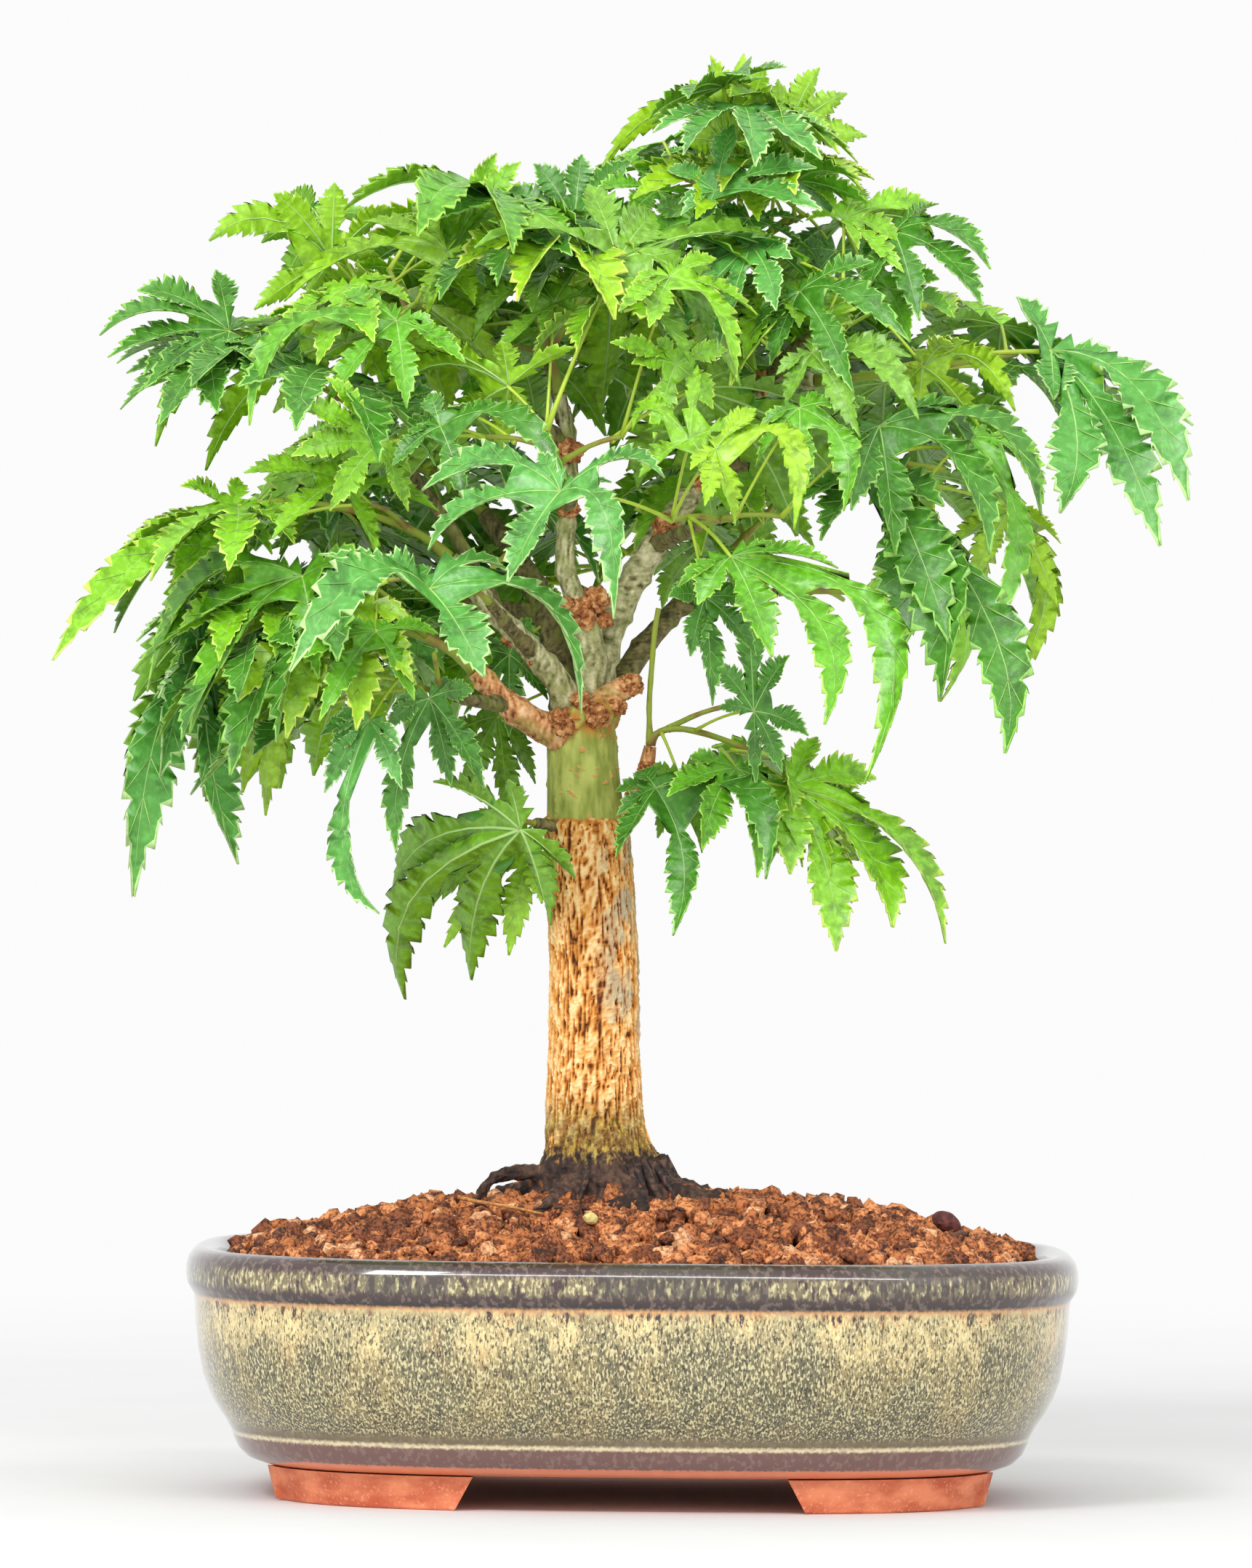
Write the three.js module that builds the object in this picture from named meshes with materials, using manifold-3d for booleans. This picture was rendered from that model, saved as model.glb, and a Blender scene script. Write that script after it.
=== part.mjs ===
// Japanese maple bonsai of the lion's head kind, in its glazed pot.
// Millimetres, +Z up, the photographed front towards -Y.
// The origin is on the ground under the middle of the pot.
import * as THREE from "three";
import { mergeVertices } from "three/addons/utils/BufferGeometryUtils.js";
import Module from "manifold-3d";

const wasm = await Module();
wasm.setup();

// Pot: half lengths at each height, the widest 105 mm from the middle
const PLAN_CORNER = 3.0; // exponent of the plan's superellipse
const PLAN_SIDES = 40;
const PLAN_INSET = 25; // the pot is this much less wide than long, on each side
const PLAN_CORE = 60; // within this half length the plan shrinks evenly to its middle
const POT_BASE = 8;
const POT_RIM = 58.5;
const POT_FLOOR = 15;
const POT_OUTSIDE = [
  [85, POT_BASE],
  [91, 10.8],
  [94.8, 18],
  [99.6, 24.5],
  [102.2, 35],
  [103.2, 47],
  [105, 50.5],
  [104.4, 56],
  [101.5, POT_RIM],
];
const POT_INSIDE = [
  [97.5, POT_RIM],
  [96, POT_RIM - 3],
  [92, 26],
  [80, POT_FLOOR],
];

// Feet: corner plates of bare clay under the pot
const FOOT_HEIGHT = 7.7;
const FOOT_OUTER = 86; // half length of the feet's outline
const FOOT_INNER = 37; // half of the gap between two feet, along the pot
const FOOT_INNER_SIDE = 27; // the same across the pot
const FOOT_SLANT = 4; // how far the ends of a foot run in towards the ground
const FOOT_TAPER = 1.4; // the same for its outer wall
const FOOT_ARC = 16; // points of its outline in a quarter turn

const CLEARANCE = 0.3; // between pieces that meet

// Soil: a mound that fills the pot and rises to the foot of the trunk, with its largest lumps
const SOIL_GAP = 2 * CLEARANCE; // between the soil and the wall of the pot
const SOIL_REACH = POT_INSIDE[1][0] - SOIL_GAP;
const SOIL_EDGE = 57.2;
const GROUND = 68; // level of the soil round the trunk
const SOIL_TOP = [
  [0, GROUND],
  [44, GROUND],
  [72, 63],
  [88, 58.6],
  [SOIL_REACH, SOIL_EDGE],
];
const LUMP_RINGS = [91, 83, 75, 67, 58, 47, 36]; // the last one stays level
const LUMP_HEIGHT = [1, 2.6];
const LUMP_SEED = 12;
const LUMP_SPACE = 12; // kept free of lumps beside the trunk and its surface roots

// Trunk: middle, height and radius of each section
const TRUNK = [
  [-3.8, 0, GROUND + CLEARANCE, 23],
  [-5.6, 0, 72, 18.5],
  [-7.6, 0, 77, 15],
  [-8.3, 0, 82, 12.7],
  [-8.8, 0, 87.5, 11.6],
  [-9.1, 0, 104, 10.7],
  [-9.3, 0, 126, 10.4],
  [-10.6, 0, 143, 10.3],
  [-12, 0, 158.5, 10.05],
  [-12.8, 0, 170, 9.3],
  [-13.4, 0, 180.5, 8.9],
  [-13.6, 0, 185, 7.4],
];
const TRUNK_SIDES = 18;
const ROOT_FLARE_TOP = 92; // the ridges of the flare die out at this height
const ROOT_RIDGES = 5;
const ROOT_RIDGE_DEPTH = 0.16;
const ROOT_RIDGE_TURN = 0.6;

// Surface roots: turn from the right, reach from the middle of the flare, and radius
const ROOTS = [
  { turn: 196, reach: 36, radius: 3.2 },
  { turn: 338, reach: 38, radius: 4.0 },
  { turn: 85, reach: 33, radius: 3.4 },
];
const ROOT_START = 10; // inside the flare
const ROOT_STEPS = 4;
const ROOT_TAPER = 0.62; // share of its radius that a root loses

// Boughs and branches: the limb they grow from, their way, and their radius at foot and tip
const LIMBS = [
  { name: "bough_leader", on: "trunk", foot: 3.9, tip: 1.9, way: [
    [-13, 0, 181], [-11.2, -0.5, 192], [-12.2, -1, 205], [-17.4, -1, 218], [-17.2, 0, 233],
    [-16.8, 1, 247], [-19.3, 0, 260]] },
  { name: "bough_low_left", on: "trunk", foot: 3.9, tip: 2.4, way: [
    [-14, -2, 179], [-22.7, -5, 181.5], [-30.6, -8, 186.5], [-38.4, -10, 194.5]] },
  { name: "bough_high_left", on: "trunk", foot: 3.3, tip: 2.0, way: [
    [-15.5, -1.5, 182], [-18.5, -4, 191], [-25, -7, 199], [-33, -10, 207], [-44.7, -12, 220.5]] },
  { name: "bough_back_left", on: "trunk", foot: 3.8, tip: 2.1, way: [
    [-15.5, 3, 182], [-19, 9, 195], [-22, 15, 208], [-28.4, 24, 220.6], [-37, 33, 232]] },
  { name: "bough_right", on: "trunk", foot: 4.1, tip: 2.0, way: [
    [-11, 3, 182], [-7.5, 8, 203], [3.6, 11, 225], [15, 10, 241.7], [21.5, 8, 256],
    [29.5, 6, 263.5], [40.8, 4, 264]] },
  { name: "bough_back_right", on: "trunk", foot: 3.2, tip: 1.9, way: [
    [-10.5, 5, 179], [-2, 16, 196], [9, 26, 210], [20, 35, 222]] },
  { name: "bough_back", on: "trunk", foot: 3.1, tip: 1.9, way: [
    [-14, 6, 178], [-17, 18, 189], [-17, 29, 200], [-13, 38, 209]] },
  { name: "stub_right", on: "trunk", foot: 3.0, tip: 2.6, way: [
    [-10.5, -3, 183], [-6, -4, 189], [-1.6, -4.6, 191.6]] },
  { name: "branch_low_right", on: "trunk", foot: 2.6, tip: 1.5, way: [
    [-5, -1, 157], [-0.4, -2, 164], [1.6, -3, 170], [2.9, -3, 177]] },
  { name: "spur_left", on: "trunk", foot: 1.7, tip: 1.2, way: [
    [-14, -2, 157.6], [-20, -6, 158], [-24, -9, 158.6]] },
  { name: "branch_crest", on: "bough_right", foot: 2.0, tip: 1.4, way: [
    [21.5, 8, 256], [21, 6, 268], [22.5, 5, 281]] },
  { name: "branch_upper_right", on: "bough_right", foot: 1.8, tip: 1.2, way: [
    [29.5, 6, 263.5], [36, 0, 271], [44, -5, 277]] },
  { name: "branch_right", on: "bough_right", foot: 2.2, tip: 1.4, way: [
    [15, 10, 241.7], [27, 8, 245], [39, 7, 246]] },
  { name: "branch_right_front", on: "bough_right", foot: 2.0, tip: 1.3, way: [
    [3.6, 11, 225], [9, 0, 227], [14, -14, 229]] },
  { name: "branch_right_top", on: "bough_right", foot: 1.8, tip: 1.2, way: [
    [21.5, 8, 256], [27, 19, 262], [32, 29, 266]] },
  { name: "branch_upper_left", on: "bough_leader", foot: 1.8, tip: 1.2, way: [
    [-16.8, 1, 247], [-29, -3, 257], [-41, -6, 268]] },
  { name: "branch_far_left", on: "bough_high_left", foot: 1.9, tip: 1.3, way: [
    [-33, -10, 207], [-46, -4, 230], [-64, -2, 252]] },
  { name: "branch_front", on: "bough_leader", foot: 1.7, tip: 1.2, way: [
    [-17.2, 0, 233], [-17, -11, 236], [-18, -22, 240]] },
  { name: "branch_front_left", on: "bough_high_left", foot: 1.8, tip: 1.2, way: [
    [-25, -7, 199], [-30, -18, 204], [-35, -27, 210]] },
  { name: "branch_inner_left", on: "bough_low_left", foot: 1.8, tip: 1.2, way: [
    [-30.6, -8, 186.5], [-37, -16, 187], [-43, -24, 188]] },
  { name: "branch_back_low", on: "bough_back_left", foot: 2.0, tip: 1.3, way: [
    [-22, 15, 208], [-36, 23, 210], [-48, 30, 211]] },
  { name: "branch_back_top", on: "bough_leader", foot: 1.8, tip: 1.2, way: [
    [-18.1, 0.5, 254], [-20, 12, 261], [-22, 24, 267]] },
  { name: "branch_back_right", on: "bough_back_right", foot: 1.8, tip: 1.2, way: [
    [9, 26, 210], [21, 25, 213], [33, 23, 214]] },
];

// Foliage masses: the limb whose tip each stem starts from, where the stem ends, how many
// side shoots it forks into, and the seed of its twigs and leaves
const MASSES = [
  { name: "leaves_far_left", limb: "branch_far_left", to: [-92, 0, 268],
    shoots: 2, ends: 2, lift: 14, seed: 414 },
  { name: "leaves_far_right", limb: "bough_right", to: [89, -2, 271],
    shoots: 1, lift: 4, seed: 102 },
  { name: "leaves_trunk_left", limb: "spur_left", to: [-27, -12, 159],
    shoots: 0, lift: -16, stalk: [6, 14], seed: 952 },
  { name: "leaves_low_right", limb: "branch_low_right", to: [27, -8, 176],
    shoots: 1, lift: -14, seed: 1184 },
  { name: "leaves_left", limb: "bough_high_left", to: [-84, -10, 234],
    shoots: 2, ends: 2, lift: 6, seed: 1135 },
  { name: "leaves_low_left", limb: "bough_low_left", to: [-82, -10, 208],
    shoots: 2, lift: -4, seed: 256 },
  { name: "leaves_upper_left", limb: "branch_upper_left", to: [-66, -6, 283],
    shoots: 2, ends: 2, lift: 16, seed: 1013 },
  { name: "leaves_upper_right", limb: "branch_upper_right", to: [54, -16, 289],
    shoots: 2, ends: 2, lift: 8, seed: 981 },
  { name: "leaves_top", limb: "bough_leader", to: [-28, -6, 288],
    shoots: 2, ends: 2, lift: 24, seed: 92 },
  { name: "leaves_right", limb: "branch_right", to: [72, 2, 243],
    shoots: 2, ends: 2, lift: -4, seed: 583 },
  { name: "leaves_inner_left", limb: "branch_inner_left", to: [-56, -32, 192],
    shoots: 1, lift: -8, seed: 1057 },
  { name: "leaves_front_left", limb: "branch_front_left", to: [-46, -46, 216],
    shoots: 2, ends: 2, lift: 0, seed: 1178 },
  { name: "leaves_front", limb: "branch_front", to: [-22, -44, 250],
    shoots: 2, lift: 6, seed: 579 },
  { name: "leaves_right_front", limb: "branch_right_front", to: [22, -40, 230],
    shoots: 2, ends: 2, lift: 2, seed: 1020 },
  { name: "leaves_right_low", limb: "branch_back_right", to: [58, 22, 214],
    shoots: 1, ends: 2, lift: -4, seed: 1031 },
  { name: "leaves_right_top", limb: "branch_right_top", to: [46, 42, 276],
    shoots: 2, ends: 2, lift: 8, seed: 1105 },
  { name: "leaves_back_top", limb: "branch_back_top", to: [-24, 44, 280],
    shoots: 2, ends: 2, lift: 10, seed: 426 },
  { name: "leaves_back_left", limb: "bough_back_left", to: [-60, 44, 246],
    shoots: 2, ends: 2, lift: 2, seed: 147 },
  { name: "leaves_back_low", limb: "branch_back_low", to: [-66, 40, 210],
    shoots: 1, ends: 2, lift: -4, seed: 868 },
  { name: "leaves_back", limb: "bough_back", to: [-8, 54, 222],
    shoots: 2, ends: 2, lift: 0, seed: 669 },
  { name: "leaves_back_right", limb: "bough_back_right", to: [36, 48, 238],
    shoots: 2, ends: 2, lift: 0, seed: 670 },
  { name: "leaves_crest", limb: "branch_crest", to: [22, -2, 318],
    shoots: 3, ends: 4, lift: 40, sizes: [0.5, 0.72], seed: 416 },
];

// Leaf: lobes spread like a hand, their turn from the middle lobe and their length beside it
const LOBES = [
  [-68, 0.7],
  [-33, 0.92],
  [0, 1],
  [33, 0.92],
  [68, 0.7],
];
const LOBE_LENGTH = 50;
const LOBE_STEPS = 10;
const LOBE_WIDEST = 5; // the step where a lobe is widest
const LOBE_NOTCH = 3; // the step where two lobes part
const LOBE_HALF_WIDTH = 0.15; // of its length
const LOBE_FOLD = 0.35; // rise of a lobe's edges beside its half width
const LOBE_SHOULDER = 0.09; // how far the blade stands out beside its base, of a lobe's length
const LEAF_THICKNESS = 1.2;
const LEAF_HEEL = 3.5; // how far a leaf's base runs back along its stalk
const LEAF_SIZES = [0.74, 1.04];
const LEAF_STEP = 2.4; // between the roots of two stalks on a twig
const FIRST_LEAF = 0.5; // from the end of a twig
const STALK = 0.7;
const STALK_LENGTH = [13, 31];
const DROOP = 0.024; // how fast a lobe bends to the ground, for each millimetre
const TRIES = 14;

// Turns of a leaf, in degrees: aside from its twig, a little more, more again with each try,
// the rise of its stalk, the dip of its blade and the blade's tilt
const LEAF_ASIDE = [38, 72];
const LEAF_SWAY = [-12, 12];
const LEAF_RETRY = [-14, 14];
const STALK_RISE = [-16, 26];
const BLADE_DIP = [4, 44];
const BLADE_TILT = [-24, 24];
const BLADE_LIFT = 0.8; // share of its mass's lift that a blade takes

// Three-sided twigs: a stem, and side shoots at a lean and an angle to it, in degrees
const STEM_FOOT = 0.85; // of the radius of the limb's tip
const STEM_BEND = 0.35; // share of its length that a stem keeps the way of its limb
const STEM_STEPS = [0, 0.07, 0.38, 0.66, 1];
const STEM_TIP = 0.9;
const SHOOT_FOOT = 1.15; // of the radius of the stem's tip
const SHOOT_FROM = 2; // the first of the two steps of the stem that shoots grow from
const SHOOT_LEAN = [-20, 35];
const SHOOT_ANGLE = [48, 66];
const SHOOT_LENGTH = [15, 23];
const SHOOT_BOW = 1;
const SHOOT_LEAVES = 2;
const STEM_LEAVES = 3;

// Limbs: their sections, and the sides of a thick and a thin one
const LIMB_STEP = 11;
const THICK_LIMB = 2.9;
const THICK_SIDES = 7;
const THIN_SIDES = 5;

// The crown's outline from the front: how high and how low it reaches, along X
const CROWN_TOP = [
  [-132, 200],
  [-128, 262],
  [-120, 284],
  [-74, 309],
  [-35, 317],
  [-10, 315],
  [4, 328],
  [20, 340],
  [42, 338],
  [53, 322],
  [80, 291],
  [116, 265],
  [131, 238],
];
const CROWN_LOW = [
  [-132, 190],
  [-119, 140],
  [-95, 148],
  [-80, 172],
  [-62, 140],
  [-57, 116],
  [-22, 130],
  [10, 134],
  [31, 147],
  [47, 129],
  [75, 131],
  [78, 176],
  [99, 203],
  [131, 228],
];
const CROWN_DEPTH = 98; // half of its reach from front to back
const CROWN_ROUND = 48; // how much lower its top lies there
const SLIVER = 0.05; // edges shorter than this are joined away

// Solids and meshes

function solid(geometry) {
  const bare = geometry.clone();
  bare.deleteAttribute("normal");
  bare.deleteAttribute("uv");
  const merged = mergeVertices(bare, 1e-4);
  return new wasm.Manifold(
    new wasm.Mesh({
      numProp: 3,
      vertProperties: new Float32Array(merged.attributes.position.array),
      triVerts: new Uint32Array(merged.index.array),
    }),
  );
}

function geometryOf(body) {
  const mesh = body.getMesh();
  const geometry = new THREE.BufferGeometry();
  geometry.setAttribute("position", new THREE.BufferAttribute(mesh.vertProperties, 3));
  geometry.setIndex(new THREE.BufferAttribute(mesh.triVerts, 1));
  geometry.computeVertexNormals();
  return geometry;
}

// The largest body of a solid, so that a scrap cut loose is dropped
function largest(body) {
  return body.decompose().sort((a, b) => b.volume() - a.volume())[0];
}

const crownGroup = new THREE.Group();
const potGroup = new THREE.Group();

function addNode(group, name, geometry, material) {
  const mesh = new THREE.Mesh(geometry, material);
  mesh.name = name;
  group.add(mesh);
}

// Pot, feet and soil

function halfWidth(halfLength) {
  if (halfLength > PLAN_CORE) return halfLength - PLAN_INSET;
  return (halfLength * (PLAN_CORE - PLAN_INSET)) / PLAN_CORE;
}

// A point of the plan's superellipse, on the same line from the middle as the ellipse's
function planPoint(halfLength, turn) {
  const [along, across] = [Math.cos(turn), Math.sin(turn)];
  const power = Math.abs(along) ** PLAN_CORNER + Math.abs(across) ** PLAN_CORNER;
  const out = power ** (-1 / PLAN_CORNER);
  return [halfLength * along * out, halfWidth(halfLength) * across * out];
}

// A lathed profile whose rings are pressed from circles into the pot's plan, each point of it
// raised by what is asked for there
function planLathe(profile, raise = () => 0) {
  const points = profile.map(([r, z]) => new THREE.Vector2(r, z));
  const geometry = new THREE.LatheGeometry(points, PLAN_SIDES);
  const position = geometry.attributes.position;
  for (let i = 0; i < position.count; i++) {
    const r = Math.hypot(position.getX(i), position.getZ(i));
    const turn = Math.atan2(-position.getZ(i), position.getX(i));
    const [x, y] = r < 1e-6 ? [0, 0] : planPoint(r, turn);
    const lift = raise(i % profile.length, Math.floor(i / profile.length) % PLAN_SIDES, x, y);
    position.setXYZ(i, x, y, position.getY(i) + lift);
  }
  return geometry;
}

function potBody() {
  return planLathe([[0, POT_BASE], ...POT_OUTSIDE, ...POT_INSIDE, [0, POT_FLOOR]]);
}

// Height of an outline at a place along it
function heightAt(outline, x) {
  const i = Math.max(1, outline.findIndex((point) => point[0] >= x));
  const [[x0, z0], [x1, z1]] = [outline[i - 1], outline[i]];
  return z0 + ((z1 - z0) * (x - x0)) / (x1 - x0);
}

// Whether a point of the soil is clear of the trunk's flare and of the surface roots
function isOpenSoil(x, y) {
  const [middleX, middleY, , radius] = TRUNK[0];
  const from = new THREE.Vector2(x - middleX, y - middleY);
  if (from.length() < radius * (1 + ROOT_RIDGE_DEPTH) + LUMP_SPACE) return false;
  return ROOTS.every((root) => {
    const angle = THREE.MathUtils.degToRad(root.turn);
    const way = new THREE.Vector2(Math.cos(angle), Math.sin(angle));
    const along = THREE.MathUtils.clamp(from.dot(way), 0, root.reach);
    return from.distanceTo(way.multiplyScalar(along)) > root.radius + LUMP_SPACE;
  });
}

// The mound, with a lump at every second point of its rings
function soil() {
  const inside = POT_INSIDE.slice(1).reverse();
  const wall = inside.map(([r, z]) => [r - SOIL_GAP, z + CLEARANCE]);
  const low = [[0, POT_FLOOR + CLEARANCE], ...wall.slice(0, -1), [SOIL_REACH, SOIL_EDGE]];
  const top = LUMP_RINGS.map((ring) => [ring, heightAt(SOIL_TOP, ring)]);
  return planLathe([...low, ...top, [0, GROUND]], (ring, side, x, y) => {
    const row = ring - low.length;
    if (row < 0 || row >= top.length - 1 || (row + side) % 2 || !isOpenSoil(x, y)) return 0;
    return dice(LUMP_SEED + row * PLAN_SIDES + side)(...LUMP_HEIGHT);
  });
}

// One corner foot, seen from above between its two straight inner ends
function foot(signX, signY) {
  const shape = new THREE.Shape();
  shape.moveTo(FOOT_INNER, FOOT_INNER_SIDE);
  const arc = [];
  for (let i = 0; i <= FOOT_ARC; i++) {
    const [x, y] = planPoint(FOOT_OUTER, (i / FOOT_ARC) * (Math.PI / 2));
    if (x >= FOOT_INNER && y >= FOOT_INNER_SIDE) arc.push([x, y]);
  }
  shape.lineTo(arc[0][0], FOOT_INNER_SIDE);
  arc.forEach(([x, y]) => shape.lineTo(x, y));
  shape.lineTo(FOOT_INNER, arc.at(-1)[1]);
  const geometry = new THREE.ExtrudeGeometry(shape, { depth: FOOT_HEIGHT, bevelEnabled: false });
  const position = geometry.attributes.position;
  for (let i = 0; i < position.count; i++) {
    const low = 1 - position.getZ(i) / FOOT_HEIGHT;
    const [x, y] = [position.getX(i), position.getY(i)];
    const alongX = x < FOOT_INNER + 1 ? FOOT_SLANT : -FOOT_TAPER;
    const alongY = y < FOOT_INNER_SIDE + 1 ? FOOT_SLANT : -FOOT_TAPER;
    position.setXY(i, x + alongX * low, y + alongY * low);
  }
  geometry.scale(signX, signY, 1);
  if (signX * signY < 0) {
    const points = geometry.attributes.position;
    for (let i = 0; i < points.count; i += 3) {
      const [x, y, z] = [points.getX(i), points.getY(i), points.getZ(i)];
      points.setXYZ(i, points.getX(i + 1), points.getY(i + 1), points.getZ(i + 1));
      points.setXYZ(i + 1, x, y, z);
    }
  }
  return geometry;
}

// Limbs and twigs

const vec = (point) => new THREE.Vector3(point[0], point[1], point[2]);
const UP = new THREE.Vector3(0, 0, 1);

// A closed tube through points, each with its radius, its rings turned as little as can be,
// or all level where the tube stands upright
function tube(points, radii, sides, { ringShape = () => 1, level = false } = {}) {
  const geometry = new THREE.CylinderGeometry(1, 1, 1, sides, points.length - 1);
  const last = points.length - 1;
  const ways = points.map((_, i) => {
    if (level) return UP;
    return points[Math.min(i + 1, last)].clone().sub(points[Math.max(i - 1, 0)]).normalize();
  });
  const seed = Math.abs(ways[0].z) > 0.9 ? new THREE.Vector3(1, 0, 0) : UP;
  const across = [seed.clone().addScaledVector(ways[0], -seed.dot(ways[0])).normalize()];
  for (let i = 1; i <= last; i++) {
    const carried = across[i - 1].clone();
    across.push(carried.addScaledVector(ways[i], -carried.dot(ways[i])).normalize());
  }
  const position = geometry.attributes.position;
  for (let i = 0; i < position.count; i++) {
    const [x, y, z] = [position.getX(i), position.getY(i), position.getZ(i)];
    const ring = Math.round((0.5 - y) * last);
    const side = ways[ring].clone().cross(across[ring]);
    const radius = radii[ring] * ringShape(Math.atan2(z, x), points[ring]);
    const at = points[ring].clone();
    at.addScaledVector(across[ring], x * radius).addScaledVector(side, z * radius);
    position.setXYZ(i, at.x, at.y, at.z);
  }
  return geometry;
}

function limbTube(limb, grow) {
  const curve = new THREE.CatmullRomCurve3(limb.way.map(vec));
  const rings = Math.max(3, Math.round(curve.getLength() / LIMB_STEP));
  const points = curve.getSpacedPoints(rings);
  const radii = points.map((_, i) => THREE.MathUtils.lerp(limb.foot, limb.tip, i / rings) + grow);
  if (grow) points[rings].addScaledVector(curve.getTangentAt(1), grow);
  return solid(tube(points, radii, limb.foot > THICK_LIMB ? THICK_SIDES : THIN_SIDES));
}

// Half length of the ring of the pot's plan that a point lies on
function planRing(x, y) {
  let [low, high] = [0, SOIL_REACH];
  for (let i = 0; i < 20; i++) {
    const r = (low + high) / 2;
    const out = (Math.abs(x) / r) ** PLAN_CORNER + (Math.abs(y) / halfWidth(r)) ** PLAN_CORNER;
    [low, high] = out > 1 ? [r, high] : [low, r];
  }
  return high;
}

function trunkTube(grow) {
  const points = TRUNK.map(vec);
  const radii = TRUNK.map((section) => section[3] + grow);
  if (grow) points.at(-1).z += grow;
  const ringShape = (turn, at) => {
    const low = Math.max(0, (ROOT_FLARE_TOP - at.z) / (ROOT_FLARE_TOP - GROUND));
    return 1 + ROOT_RIDGE_DEPTH * low * Math.cos(ROOT_RIDGES * turn + ROOT_RIDGE_TURN);
  };
  return solid(tube(points, radii, TRUNK_SIDES, { ringShape, level: true }));
}

function surfaceRoot({ turn, reach, radius }) {
  const angle = THREE.MathUtils.degToRad(turn);
  const points = [];
  const radii = [];
  for (let i = 0; i <= ROOT_STEPS; i++) {
    const out = THREE.MathUtils.lerp(ROOT_START, reach, i / ROOT_STEPS);
    const x = TRUNK[0][0] + out * Math.cos(angle);
    const y = TRUNK[0][1] + out * Math.sin(angle);
    const size = radius * (1 - (ROOT_TAPER * i) / ROOT_STEPS);
    points.push(new THREE.Vector3(x, y, heightAt(SOIL_TOP, planRing(x, y)) + CLEARANCE + size));
    radii.push(size);
  }
  return solid(tube(points, radii, 7));
}

function trunk() {
  return ROOTS.reduce((body, root) => body.add(surfaceRoot(root)), trunkTube(0));
}

// Seeded numbers, the same on every machine
function dice(seed) {
  let state = (seed * 7919) % 2147483647;
  const roll = () => {
    state = (state * 16807) % 2147483647;
    return state / 2147483647;
  };
  for (let i = 0; i < 4; i++) roll();
  return (low, high) => low + (high - low) * roll();
}

// Leaves

// Middle lines of a leaf's lobes, which set out like fingers and bend to the ground
function leafLines(junction, way, face, size) {
  const side = way.clone().cross(face);
  return LOBES.map(([degrees, share]) => {
    const turn = THREE.MathUtils.degToRad(degrees);
    const step = (LOBE_LENGTH * size * share) / LOBE_STEPS;
    const at = junction.clone();
    const along = way.clone().multiplyScalar(Math.cos(turn)).addScaledVector(side, Math.sin(turn));
    const up = face.clone();
    const line = [];
    for (let i = 0; i <= LOBE_STEPS; i++) {
      line.push({ at: at.clone(), along: along.clone(), up: up.clone() });
      at.addScaledVector(along, step);
      along.addScaledVector(UP, -DROOP * step).normalize();
      up.addScaledVector(along, -up.dot(along)).normalize();
    }
    return line;
  });
}

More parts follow.
